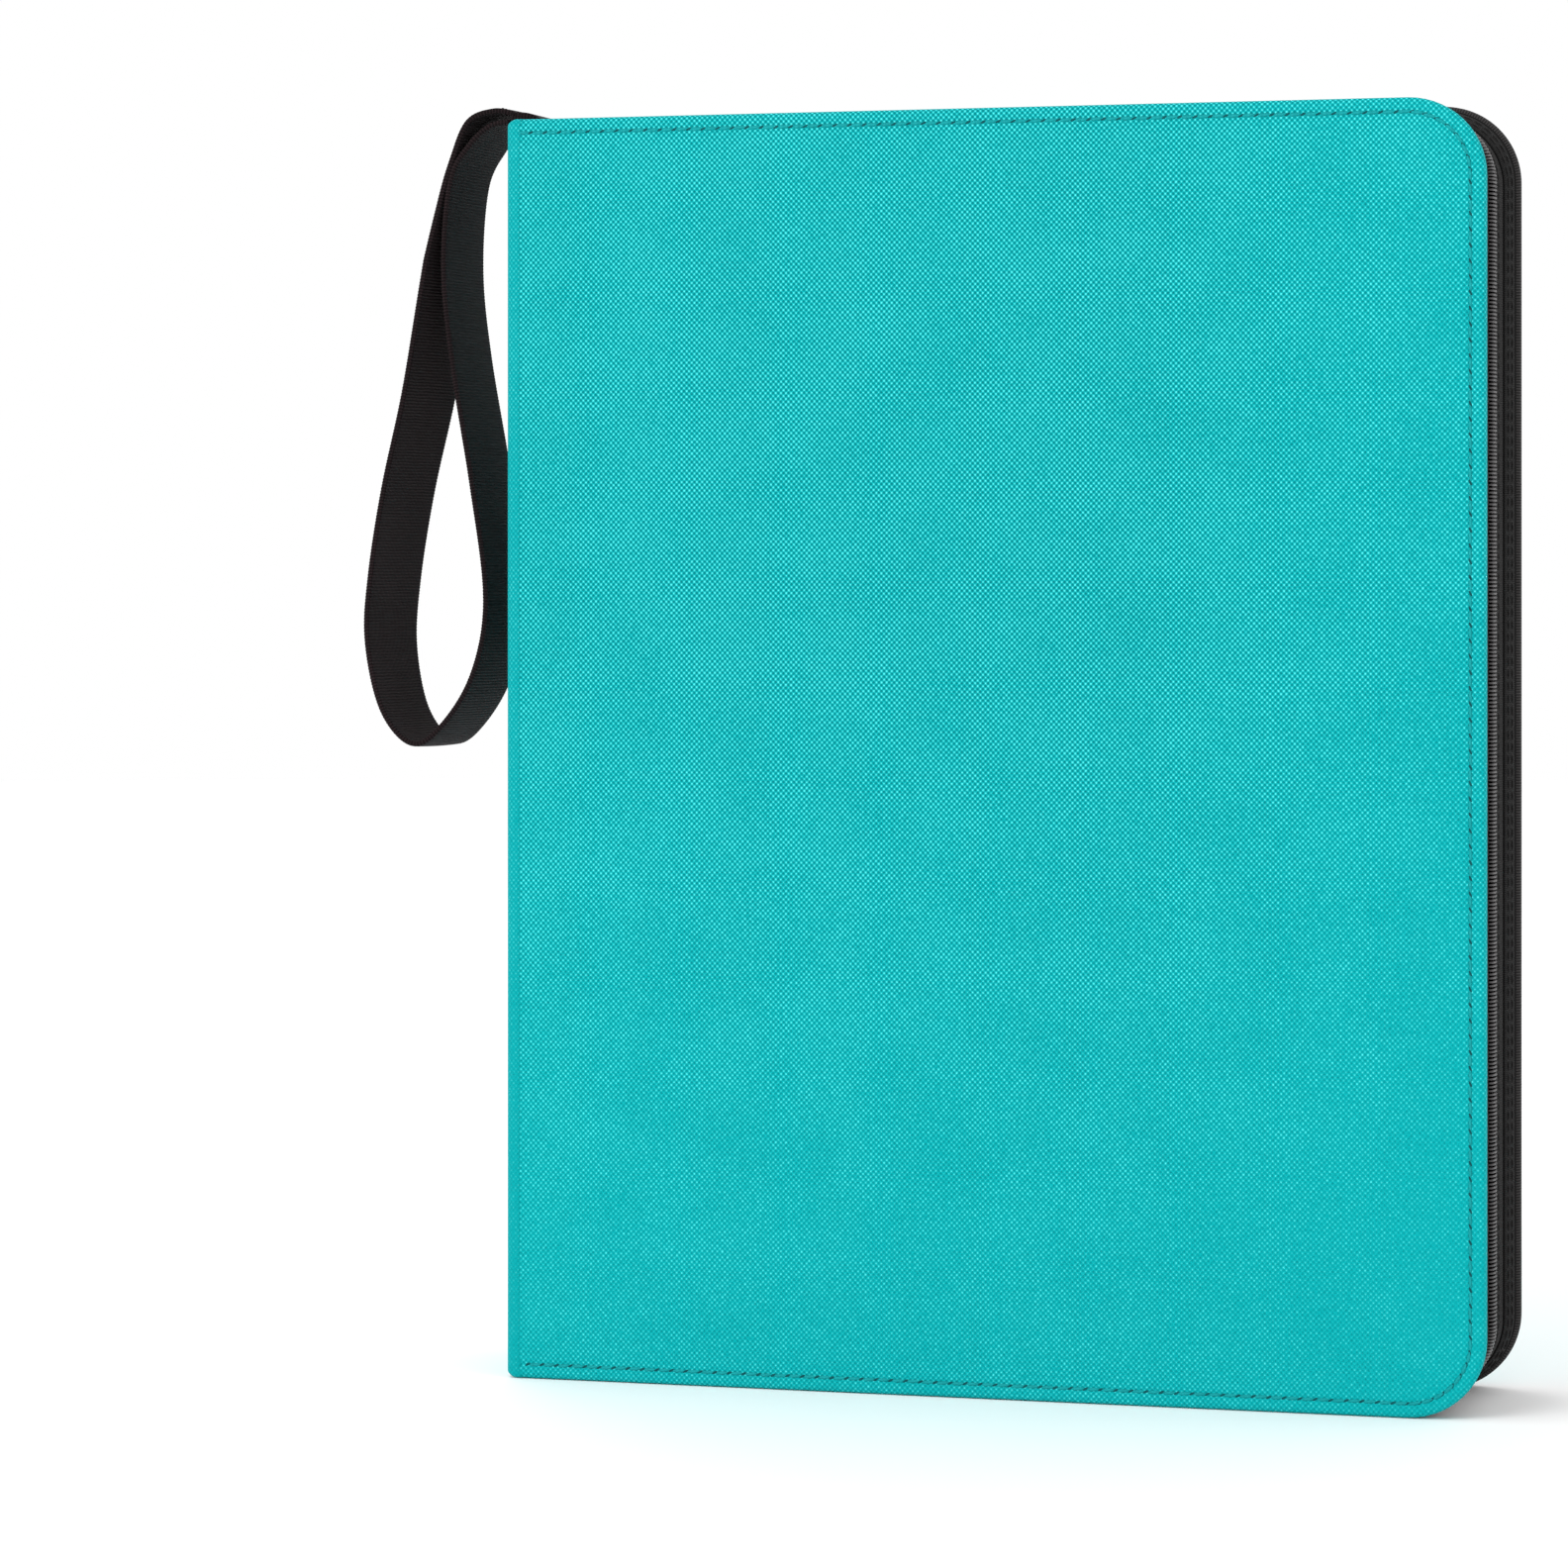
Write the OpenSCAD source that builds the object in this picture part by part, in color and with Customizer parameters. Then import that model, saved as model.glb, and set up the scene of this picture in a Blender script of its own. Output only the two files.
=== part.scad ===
// Zip-round trading card binder with three rings, pocket pages and a wrist strap.
// Closed and standing on its bottom edges: +X runs from the spine to the zip edge,
// -Y is the front cover's outside, +Z is up. Millimetres.
// The origin is the middle of the back cover's bottom edge.

/* [Case] */
// Height of the covers
body_h = 335; // [250:1:420]
// Width from the spine's outside to the zip edge
body_w = 262; // [200:1:320]
// Depth of the closed case
body_t = 60; // [40:1:90]
// Corner radius on the zip side
corner_r = 20; // [8:1:40]
// Outer fabric thickness
skin_t = 0.8; // [0.4:0.1:1.5]
// Stiffener board thickness
board_t = 2.4; // [1:0.1:4]
// Lining thickness
lining_t = 0.8; // [0.4:0.1:1.5]
// Gap beside a fold roll
fold_gap = 0.3; // [0.2:0.05:0.6]

/* [Zip] */
// Depth of the fabric band sewn to each cover
band_d = 11; // [6:0.5:20]
// Fabric band thickness
band_t = 1.6; // [0.8:0.1:3]
// Recess of the band behind the cover edge
band_in = 0.9; // [0.3:0.1:2]
// Zip tape thickness
tape_t = 0.8; // [0.5:0.1:1.5]
// Width of one coil
coil_w = 3.5; // [2:0.1:5]
// Thickness of a coil
coil_t = 2.2; // [1.2:0.1:4]
// Recess of the coils behind the cover edge
coil_in = 1.8; // [0.5:0.1:4]
// Half gap between the two coils
coil_gap = 0.5; // [0.3:0.05:1]
// Where the bands start, from the spine's outside
band_start = 14; // [8:1:40]
// Where the front coil starts
front_coil_start = 35; // [20:1:60]
// Slider length
slider_l = 13; // [8:0.5:20]
// Slider middle, from the spine's outside
slider_at = 21; // [16:1:60]

/* [Rings] */
// Ring centreline radius
ring_r = 14.2; // [10:0.1:30]
// Ring wire radius
wire_r = 1.4; // [1:0.05:2.5]
// Ring centre, from the spine's outside
ring_at = 22; // [18:0.5:50]
// Distance between rings
ring_pitch = 108; // [70:1:120]
// Base plate length
base_l = 280; // [240:1:310]
// Base plate width
base_w = 28; // [20:1:36]

/* [Pages] */
// Page height
page_h = 297; // [250:1:320]
// Page width
page_w = 224; // [180:1:240]
// Distance between page middles
page_pitch = 2.1; // [1.6:0.1:4]
// Backing sheet thickness
sheet_t = 0.3; // [0.15:0.05:0.6]
// Clear film thickness
film_t = 0.1; // [0.05:0.05:0.3]
// Card width
card_w = 63.5; // [50:0.5:80]
// Card height
card_h = 88.9; // [70:0.1:110]
// Card thickness
card_t = 0.32; // [0.2:0.01:1]
// Pocket width pitch
pocket_w = 68; // [64:0.5:84]
// Pocket height pitch
pocket_h = 97; // [90:0.5:115]

/* [Strap] */
// Webbing width
strap_w = 25; // [10:0.5:40]
// Webbing thickness
strap_t = 1.4; // [0.8:0.1:3]

/* [Hidden] */
$fn = 48;
cover_t = skin_t + board_t + lining_t;
half_t = body_t / 2;
fold_r = cover_t / 2;
cover_x0 = cover_t + fold_gap;
spine_y = half_t - cover_t - fold_gap;
back_mid = half_t - cover_t / 2;
// Strip of page that carries the holes
strip_w = page_w - 3 * pocket_w;
strip_cut = 22;
hole_in = 10;
hole_r = 4;
hole_slack = 1.6;
round_holes = [-120, -108, -81, 0, 81, 108, 120];
slot_holes = [-59, -40, 40, 59];
small_hole_r = 3;
slot_half = 1.8;
card_r = 3;
card_gap = 0.05;
// Ring mechanism, measured from the spine's outside
base_t = 1.2;
base_h = 6;
plate_t = 1.2;
plate_half = 12.4;
plate_x = 5.6;
tip_gap = 0.1;
slot_y = [6.9, 11.3];
foot_rise = 0.8;
bend_r = 1.7;
slot_l = 5;
rivet_z = 124;
rivet_r = 1.45;
rivet_hole_r = 1.5;
rivet_head_r = 3.6;
rivet_head_t = 1.2;
// Slider, measured down from the covers' top edge
slider_w = 11.2;
slider_top = [0.2, 1.6];
slider_low = [4.2, 5.4];
flange_w = 1.2;
flange_gap = [2.2, 3.6];
web_t = 0.5;
ear_y = 2.3;
ear_t = 1;
ear_l = 2.8;
ear_top = 1.9;
pin_r = 0.6;
pin_hole_r = 0.66;
pin_z = 0.7;
loop_l = 8.4;
loop_y = 1.2;
loop_r = 0.5;
grip_l = 23;
grip_w = 10.6;
grip_t = 3;
rib_n = 6;
rib_pitch = 2.6;
rib_r = 0.3;
// End caps of fabric that close the spine's ends
cap_in = 1.5;
cap_t = 1.5;
// Strap: where the webbing leaves the spine
knuckle = [1, 2.1];
anchor_h = 12;

teal = [0.09, 0.74, 0.75];
black = [0.1, 0.1, 0.1];
charcoal = [0.2, 0.2, 0.21];
silver = [0.8, 0.8, 0.82];

// Design frame: x from the spine's outside, y from the middle of the depth
module place() {
    translate([-body_w / 2, -back_mid, 0]) children();
}

// Draws a flat shape in X and Z and gives it depth from y0 to y1
module slab(y0, y1) {
    translate([0, y1, 0]) rotate([90, 0, 0]) linear_extrude(y1 - y0) children();
}

// Cover outline shrunk by d, starting at x0, round at the zip corners
module outline(x0, d) {
    r = corner_r - d;
    x1 = body_w - d;
    translate([x0, d]) square([x1 - r - x0, body_h - 2 * d]);
    translate([x0, d + r]) square([x1 - x0, body_h - 2 * (d + r)]);
    for (z = [d + r, body_h - d - r]) translate([x1 - r, z]) circle(r = r);
}

// Strip of the given thickness that follows the outline, open at the spine
module u_strip(x0, d, t) {
    difference() {
        outline(x0, d);
        outline(x0 - 1, d + t);
    }
}

// ---- Covers ----
module cover_skin(s) {
    difference() {
        slab(min(s * half_t, s * (half_t - cover_t)),
             max(s * half_t, s * (half_t - cover_t))) outline(cover_x0, 0);
        slab(min(s * (half_t - skin_t), s * (half_t - cover_t - 1)),
             max(s * (half_t - skin_t), s * (half_t - cover_t - 1)))
            outline(cover_x0 - 1, skin_t);
    }
}

module cover_layer(s, a, b) {
    slab(min(s * (half_t - a), s * (half_t - b)), max(s * (half_t - a), s * (half_t - b)))
        outline(cover_x0, skin_t);
}

module cover_band(s) {
    y_out = half_t - cover_t;
    y_in = y_out - band_d;
    slab(min(s * y_out, s * y_in), max(s * y_out, s * y_in))
        u_strip(band_start, band_in, band_t);
}

module cover_tape(s, x0) {
    y_out = half_t - cover_t - band_d + 2;
    y_in = coil_gap + coil_w;
    slab(min(s * y_out, s * y_in), max(s * y_out, s * y_in))
        u_strip(x0, band_in + band_t, tape_t);
}

module cover_coil(s, x0) {
    slab(min(s * coil_gap, s * (coil_gap + coil_w)),
         max(s * coil_gap, s * (coil_gap + coil_w)))
        u_strip(x0, coil_in, coil_t);
}

module front_skin() color(teal) place() cover_skin(-1);
module back_skin() color(teal) place() cover_skin(1);
module front_board() color("Tan") place() cover_layer(-1, skin_t, skin_t + board_t);
module back_board() color("Tan") place() cover_layer(1, skin_t, skin_t + board_t);
module front_lining() color(black) place() cover_layer(-1, skin_t + board_t, cover_t);
module back_lining() color(black) place() cover_layer(1, skin_t + board_t, cover_t);
module front_band() color(charcoal) place() cover_band(-1);
module back_band() color(charcoal) place() cover_band(1);
module front_tape() color(black) place() cover_tape(-1, band_start);
module back_tape() color(black) place() cover_tape(1, band_start);
module front_coil() color(charcoal) place() cover_coil(-1, front_coil_start);
module back_coil() color(charcoal) place() cover_coil(1, band_start);

// ---- Spine ----
module spine_slab(x0, x1) {
    translate([x0, -spine_y, 0]) cube([x1 - x0, 2 * spine_y, body_h]);
}

module rivet_holes() {
    for (s = [-1, 1])
        translate([-1, 0, body_h / 2 + s * rivet_z]) rotate([0, 90, 0])
            cylinder(r = rivet_hole_r, h = 2 * base_h + cover_t);
}

module spine_skin() color(teal) place() spine_slab(0, skin_t);

module spine_board() color("Tan") place() difference() {
    spine_slab(skin_t, skin_t + board_t);
    rivet_holes();
}

module spine_lining() color(black) place() difference() {
    spine_slab(skin_t + board_t, cover_t);
    rivet_holes();
}

module fold_roll(s) {
    translate([fold_r, s * (half_t - fold_r), 0]) cylinder(r = fold_r, h = body_h);
}

module front_fold() color(teal) place() fold_roll(-1);
module back_fold() color(teal) place() fold_roll(1);

// Fabric end cap, with the slot that the strap leaves through in the top one
module cap_slab(z0) {
    translate([cover_t, -spine_y, z0])
        cube([band_start - fold_gap - cover_t, 2 * spine_y, cap_t]);
}

module cap_top() color(black) place() difference() {
    cap_slab(body_h - cap_in - cap_t);
    translate([cover_t - 1, -strap_w / 2 - 0.2, body_h - cap_in - cap_t - 1])
        cube([2 * strap_t + 1.4, strap_w + 0.4, cap_t + 2]);
}

module cap_bottom() color(black) place() cap_slab(cap_in);

// ---- Ring mechanism ----
module ring_base() color(black) place() difference() {
    translate([cover_t, -base_w / 2, (body_h - base_l) / 2]) cube([base_h, base_w, base_l]);
    translate([cover_t - 1, base_t - base_w / 2, (body_h - base_l) / 2 - 1])
        cube([base_h - base_t + 1, base_w - 2 * base_t, base_l + 2]);
    for (k = [-1:1], s = [-1, 1])
        translate([cover_t, s > 0 ? slot_y[0] : -slot_y[1],
                   body_h / 2 + k * ring_pitch - slot_l / 2])
            cube([base_h + 1, slot_y[1] - slot_y[0], slot_l]);
    rivet_holes();
}

module ring_rivets() color(silver) place()
    for (s = [-1, 1]) translate([skin_t, 0, body_h / 2 + s * rivet_z])
        rotate([0, 90, 0]) {
            cylinder(r = rivet_r, h = cover_t - skin_t + base_h);
            translate([0, 0, cover_t - skin_t + base_h])
                cylinder(r = rivet_head_r, h = rivet_head_t);
        }

// One half ring in the X and Y plane, on the side s, with a straight foot to its hinge plate
module half_ring(s) {
    tip_angle = asin(tip_gap / ring_r);
    foot_x = cover_t + base_h + foot_rise;
    foot_angle = acos((foot_x - ring_at) / ring_r);
    mirror([0, s > 0 ? 0 : 1, 0]) {
        translate([ring_at, 0, 0]) rotate([0, 0, tip_angle])
            rotate_extrude(angle = foot_angle - tip_angle)
                translate([ring_r, 0]) circle(r = wire_r, $fn = 24);
        translate([foot_x, ring_r * sin(foot_angle), 0]) {
            sphere(r = bend_r, $fn = 24);
            rotate([0, -90, 0]) cylinder(r = wire_r, h = foot_x - plate_x - plate_t / 2, $fn = 24);
        }
    }
}

module ring_halves(s)
    for (k = [-1:1]) translate([0, 0, body_h / 2 + k * ring_pitch]) half_ring(s);

module hinge_plate(s) {
    z0 = (body_h - base_l) / 2 + 2;
    difference() {
        translate([plate_x - plate_t / 2, s > 0 ? 0.25 : -plate_half, z0])
            cube([plate_t, plate_half - 0.25, base_l - 4]);
        for (k = [-1, 1]) translate([0, 0, body_h / 2 + k * rivet_z])
            rotate([0, 90, 0]) cylinder(r = 2 * rivet_hole_r, h = 2 * base_h);
    }
}

module ring_half_front() color(silver) place() ring_halves(-1);
module ring_half_back() color(silver) place() ring_halves(1);
module plate_front() color(silver) place() hinge_plate(-1);
module plate_back() color(silver) place() hinge_plate(1);

// ---- Pages, at depth y from the middle ----
function page_x0(y) = ring_at + sqrt(ring_r * ring_r - y * y) + hole_slack - hole_in;
function page_y(s, i) = s * (i - 0.5) * page_pitch;

module rounded(w, h, r) {
    translate([r, 0]) square([w - 2 * r, h]);
    translate([0, r]) square([w, h - 2 * r]);
    for (x = [r, w - r], z = [r, h - r]) translate([x, z]) circle(r = r, $fn = 32);
}

module sheet(y) {
    z0 = (body_h - page_h) / 2;
    slab(y - sheet_t / 2, y + sheet_t / 2) translate([page_x0(y), z0]) difference() {
        union() {
            translate([strip_w, 0]) square([page_w - strip_w, page_h]);
            translate([0, strip_cut]) rounded(strip_w + 5, page_h - 2 * strip_cut, 2);
        }
        for (h = round_holes) translate([hole_in, page_h / 2 + h])
            circle(r = abs(h) == ring_pitch || h == 0 ? hole_r : small_hole_r, $fn = 32);
        for (h = slot_holes, k = [-1, 1]) translate([hole_in, page_h / 2 + h + k * slot_half])
            circle(r = small_hole_r, $fn = 32);
        for (h = slot_holes) translate([hole_in - small_hole_r, page_h / 2 + h - slot_half])
            square([2 * small_hole_r, 2 * slot_half]);
    }
}

module film(y) {
    z0 = (body_h - page_h) / 2;
    inner = sheet_t / 2 + 2 * card_gap + card_t;
    for (a = [-inner - film_t, inner]) slab(y + a, y + a + film_t)
        translate([page_x0(y) + strip_w, z0]) square([3 * pocket_w, page_h]);
}

module cards(y) {
    z0 = (body_h - 3 * pocket_h) / 2;
    inner = sheet_t / 2 + card_gap;
    for (a = [-inner - card_t, inner], i = [0:2], j = [0:2]) slab(y + a, y + a + card_t)
        translate([page_x0(y) + strip_w + i * pocket_w + (pocket_w - card_w) / 2,
                   z0 + j * pocket_h + (pocket_h - card_h) / 2])
            rounded(card_w, card_h, card_r);
}

module page_sheet(s, i) color(charcoal) place() sheet(page_y(s, i));
module page_film(s, i) color([0.8, 0.85, 0.9, 0.3]) place() film(page_y(s, i));
module page_cards(s, i) color("WhiteSmoke") place() cards(page_y(s, i));

// ---- Strap ----
// Loop centreline from the spine's top corner, x to the zip edge and z up:
// out along the left strand and back up the right one
loop_points = [[-3, 5], [-9, 6], [-16, 3], [-22, -9], [-26, -24], [-30, -44], [-35, -72],
               [-41, -98], [-45, -122], [-46, -140], [-41, -158], [-33, -167], [-25, -163],
               [-16, -149], [-12, -128], [-16, -96], [-21, -62], [-23, -38], [-20, -14],
               [-15, -3], [-10, 2], [-5, 3]];
loop_steps = 4;

// Smooth curve through the points p, with n steps between neighbours
function at(p, i) = p[min(max(i, 0), len(p) - 1)];
function between(a, b, c, d, t) = 0.5 * (2 * b + t * (c - a) + t * t * (2 * a - 5 * b + 4 * c - d)
                                         + t * t * t * (3 * b - a - 3 * c + d));
function smooth(p, n) = [for (i = [0:len(p) - 2], k = [0:n])
    if (k < n || i == len(p) - 2) between(at(p, i - 1), p[i], p[i + 1], at(p, i + 2), k / n)];
// The path p moved sideways by d, and its outline as a strip
function tangent(p, i) = let (v = at(p, i + 1) - at(p, i - 1)) v / norm(v);
function shifted(p, i, d) = let (t = tangent(p, i)) p[i] + d * [t[1], -t[0]];
function strip(p, t) = concat([for (i = [0:len(p) - 1]) shifted(p, i, t / 2)],
                              [for (i = [len(p) - 1:-1:0]) shifted(p, i, -t / 2)]);

module strap_loop() color(black) place()
    translate([0, 0, body_h]) slab(-strap_w / 2, strap_w / 2) {
        polygon(strip(smooth(loop_points, loop_steps), strap_t));
        polygon([[-5.6, 2], knuckle + [0, -1.2], knuckle + [1.2, 0], knuckle + [0, 1.2],
                 [-3.6, 6]]);
    }

// Webbing end sewn inside the spine, bent over towards the loop
module strap_anchor() color(black) place()
    translate([cover_t, 0, body_h]) slab(-strap_w / 2, strap_w / 2)
        polygon([[0, -anchor_h], [2 * strap_t, -anchor_h], [2 * strap_t, -0.5], [0.6, 2.6],
                 [-0.9, 2.8], [-1, 1.2], [0, 0.3]]);

// ---- Zip slider and pull ----
module slider_body() color(charcoal) place() translate([slider_at, 0, body_h]) difference() {
    union() {
        translate([-slider_l / 2, -slider_w / 2, -slider_top[1]])
            cube([slider_l, slider_w, slider_top[1] - slider_top[0]]);
        translate([-slider_l / 2, -slider_w / 2, -slider_low[1]])
            cube([slider_l, slider_w, slider_low[1] - slider_low[0]]);
        translate([-slider_l / 2, -web_t / 2, -slider_low[1]])
            cube([slider_l, web_t, slider_low[1] - slider_top[0]]);
        for (s = [-1, 1]) {
            y0 = s > 0 ? slider_w / 2 - flange_w : -slider_w / 2;
            translate([-slider_l / 2, y0, -flange_gap[0]])
                cube([slider_l, flange_w, flange_gap[0] - slider_top[0]]);
            translate([-slider_l / 2, y0, -slider_low[1]])
                cube([slider_l, flange_w, slider_low[1] - flange_gap[1]]);
            translate([-ear_l / 2, s > 0 ? ear_y : -ear_y - ear_t, -slider_top[1]])
                cube([ear_l, ear_t, ear_top + slider_top[1]]);
        }
    }
    translate([0, -slider_w, pin_z]) rotate([-90, 0, 0])
        cylinder(r = pin_hole_r, h = 2 * slider_w, $fn = 32);
}

module pull_loop() color(charcoal) place() translate([slider_at, 0, body_h + pin_z]) {
    translate([0, -ear_y - ear_t, 0]) rotate([-90, 0, 0])
        cylinder(r = pin_r, h = 2 * (ear_y + ear_t), $fn = 32);
    for (s = [-1, 1]) translate([0, s * loop_y, 0]) rotate([0, 90, 0])
        cylinder(r = loop_r, h = loop_l, $fn = 24);
}

module pull_grip() color(charcoal) place() translate([slider_at + loop_l, 0, body_h + pin_z])
    difference() {
        translate([0, -grip_w / 2, -grip_t / 2]) linear_extrude(grip_t)
            rounded(grip_l, grip_w, grip_w / 2 - 0.6);
        for (i = [0:rib_n - 1], s = [-1, 1])
            translate([grip_l / 2 + (i - (rib_n - 1) / 2) * rib_pitch, -grip_w, s * grip_t / 2])
                rotate([-90, 0, 0]) cylinder(r = rib_r, h = 2 * grip_w, $fn = 16);
    }

front_skin();
front_board();
front_lining();
front_band();
front_tape();
front_coil();
back_skin();
back_board();
back_lining();
back_band();
back_tape();
back_coil();
spine_skin();
spine_board();
spine_lining();
front_fold();
back_fold();
cap_top();
cap_bottom();
ring_base();
ring_rivets();
ring_half_front();
ring_half_back();
plate_front();
plate_back();
strap_anchor();
strap_loop();
slider_body();
pull_loop();
pull_grip();
page_sheet(-1, 1);  // sheet_f1
page_sheet(-1, 2);  // sheet_f2
page_sheet(-1, 3);  // sheet_f3
page_sheet(-1, 4);  // sheet_f4
page_film(-1, 1);  // film_f1
page_film(-1, 2);  // film_f2
page_film(-1, 3);  // film_f3
page_film(-1, 4);  // film_f4
page_cards(-1, 1);  // cards_f1
page_cards(-1, 2);  // cards_f2
page_cards(-1, 3);  // cards_f3
page_cards(-1, 4);  // cards_f4
page_sheet(1, 1);  // sheet_b1
page_sheet(1, 2);  // sheet_b2
page_sheet(1, 3);  // sheet_b3
page_sheet(1, 4);  // sheet_b4
page_film(1, 1);  // film_b1
page_film(1, 2);  // film_b2
page_film(1, 3);  // film_b3
page_film(1, 4);  // film_b4
page_cards(1, 1);  // cards_b1
page_cards(1, 2);  // cards_b2
page_cards(1, 3);  // cards_b3
page_cards(1, 4);  // cards_b4
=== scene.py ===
"""Looks of a zip-round trading card binder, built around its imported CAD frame.

Row frame, in metres: +X runs from the spine to the zip edge, -Y is out of the front cover, +Z is up.
"""
import math
import random

import bmesh
import bpy
import numpy as np
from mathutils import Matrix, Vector


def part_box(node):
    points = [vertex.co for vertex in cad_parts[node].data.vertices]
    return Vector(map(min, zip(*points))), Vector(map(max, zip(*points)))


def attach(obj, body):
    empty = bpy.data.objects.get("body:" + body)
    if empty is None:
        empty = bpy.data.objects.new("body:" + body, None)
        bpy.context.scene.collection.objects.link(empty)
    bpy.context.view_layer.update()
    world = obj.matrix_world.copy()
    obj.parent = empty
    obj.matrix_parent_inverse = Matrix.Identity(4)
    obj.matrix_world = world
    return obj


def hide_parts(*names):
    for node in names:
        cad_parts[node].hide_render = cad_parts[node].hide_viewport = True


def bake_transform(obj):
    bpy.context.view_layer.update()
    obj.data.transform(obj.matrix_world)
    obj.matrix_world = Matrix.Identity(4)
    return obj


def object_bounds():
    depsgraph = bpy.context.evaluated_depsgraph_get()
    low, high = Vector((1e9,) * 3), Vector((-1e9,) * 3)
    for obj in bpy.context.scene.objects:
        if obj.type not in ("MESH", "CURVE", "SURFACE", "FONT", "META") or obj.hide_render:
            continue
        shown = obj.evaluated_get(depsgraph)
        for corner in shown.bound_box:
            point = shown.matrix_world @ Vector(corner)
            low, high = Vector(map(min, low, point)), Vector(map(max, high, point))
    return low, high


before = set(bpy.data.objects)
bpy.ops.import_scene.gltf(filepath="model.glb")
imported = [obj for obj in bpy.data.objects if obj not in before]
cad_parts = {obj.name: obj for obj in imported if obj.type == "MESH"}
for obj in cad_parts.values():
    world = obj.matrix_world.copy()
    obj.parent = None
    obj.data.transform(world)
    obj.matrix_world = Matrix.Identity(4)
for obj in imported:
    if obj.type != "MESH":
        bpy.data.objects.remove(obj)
CAD_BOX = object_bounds()
MM = 0.001
X_AXIS, Y_AXIS, Z_AXIS = np.eye(3)


# ---- Places, read from the frame ----
def low(node):
    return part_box(node)[0]


def high(node):
    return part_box(node)[1]


SPINE_X = low("spine_skin").x
ZIP_X = high("front_skin").x
TOP = high("front_skin").z
FRONT_Y = low("front_skin").y
BACK_Y = high("back_skin").y
MID_Y = (FRONT_Y + BACK_Y) / 2
COVER_T = high("front_skin").y - FRONT_Y
COVER_X = low("front_skin").x
CORNER_R = 20 * MM
SPINE_HALF = (high("spine_skin").y - low("spine_skin").y) / 2
WALL_X = low("front_band").x
STRAP_W = high("strap_loop").y - low("strap_loop").y
CARD_W, CARD_H = 63.5 * MM, 88.9 * MM
POCKET_W, POCKET_H = 68 * MM, 97 * MM
SIDES = {"front": -1, "back": 1}


def face_y(s):
    """y of a cover's outer face."""
    return FRONT_Y if s < 0 else BACK_Y


def wall_y(s, half_depth):
    """y of a place at that distance from the middle, on one side."""
    return MID_Y + s * half_depth


# ---- Mesh helpers ----
def mesh_object(name, points, faces, uvs=None, smooth=True):
    """A mesh object from points and faces. uvs holds one pair a point, in metres."""
    mesh = bpy.data.meshes.new(name)
    mesh.from_pydata([tuple(map(float, p)) for p in points], [], [tuple(map(int, f)) for f in faces])
    if uvs is not None:
        layer = mesh.uv_layers.new(name="UVMap")
        loops = np.zeros(len(mesh.loops), np.int32)
        mesh.loops.foreach_get("vertex_index", loops)
        layer.data.foreach_set("uv", np.asarray(uvs, float)[loops].astype(np.float32).ravel())
    mesh.validate()
    bm = bmesh.new()
    bm.from_mesh(mesh)
    bmesh.ops.recalc_face_normals(bm, faces=bm.faces)
    bm.to_mesh(mesh)
    bm.free()
    if smooth:
        mesh.shade_smooth()
    obj = bpy.data.objects.new(name, mesh)
    bpy.context.scene.collection.objects.link(obj)
    return obj


def grid_faces(rows, cols, wrap_cols=False, start=0, flip=False):
    """Quads between rows and columns of points, in row order."""
    faces = []
    for i in range(rows - 1):
        for j in range(cols if wrap_cols else cols - 1):
            a, b, d = i * cols, (i + 1) * cols, (j + 1) % cols
            quad = [a + j, a + d, b + d, b + j]
            faces.append([start + q for q in (quad[::-1] if flip else quad)])
    return faces


def tube_faces(rows, sides):
    """Faces of a tube of rings of points, closed at both ends."""
    return grid_faces(rows, sides, wrap_cols=True) + [list(range(sides))[::-1],
                                                      list(range((rows - 1) * sides, rows * sides))]


def turns(n):
    """n even angles round a circle."""
    return [2 * math.pi * k / n for k in range(n)]


def distances(line):
    """How far along a line of points each point is."""
    return np.concatenate([[0], np.cumsum(np.linalg.norm(np.diff(line, axis=0), axis=1))])


class Parts:
    """Gathers many small shapes into one mesh."""

    def __init__(self):
        self.points, self.faces, self.uvs = [], [], []

    def add(self, points, faces, uvs=None):
        start = len(self.points)
        self.points.extend(points)
        self.faces.extend([[start + i for i in f] for f in faces])
        self.uvs.extend(uvs if uvs is not None else [(0.0, 0.0)] * len(points))

    def make(self, name, smooth=True):
        return mesh_object(name, self.points, self.faces, self.uvs, smooth)


def add_bevel(obj, width, segments=2, angle=30):
    """A modifier that rounds an object's sharp edges."""
    m = obj.modifiers.new("bevel", "BEVEL")
    m.width = width
    m.segments = segments
    m.limit_method = "ANGLE"
    m.angle_limit = math.radians(angle)


def apply_modifiers(obj):
    """Keeps the shape that an object's modifiers give it, without the modifiers."""
    mesh = bpy.data.meshes.new_from_object(obj.evaluated_get(bpy.context.evaluated_depsgraph_get()))
    obj.modifiers.clear()
    obj.data = mesh


def thicken(obj, thickness):
    """Gives a single-layer cloth its thickness, to both sides."""
    m = obj.modifiers.new("thick", "SOLIDIFY")
    m.thickness = thickness
    m.offset = 0
    apply_modifiers(obj)


def dress(obj, material, body=None, replaces=(), second=None):
    """Gives a piece its material, the body it rides on and the CAD nodes it stands for."""
    kept = [p.material_index for p in obj.data.polygons] if second else None
    obj.data.materials.clear()
    obj.data.materials.append(material)
    if second:
        obj.data.materials.append(second)
        obj.data.polygons.foreach_set("material_index", kept)
    if body:
        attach(obj, body)
    if replaces:
        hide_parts(*replaces)
    return obj


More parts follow.
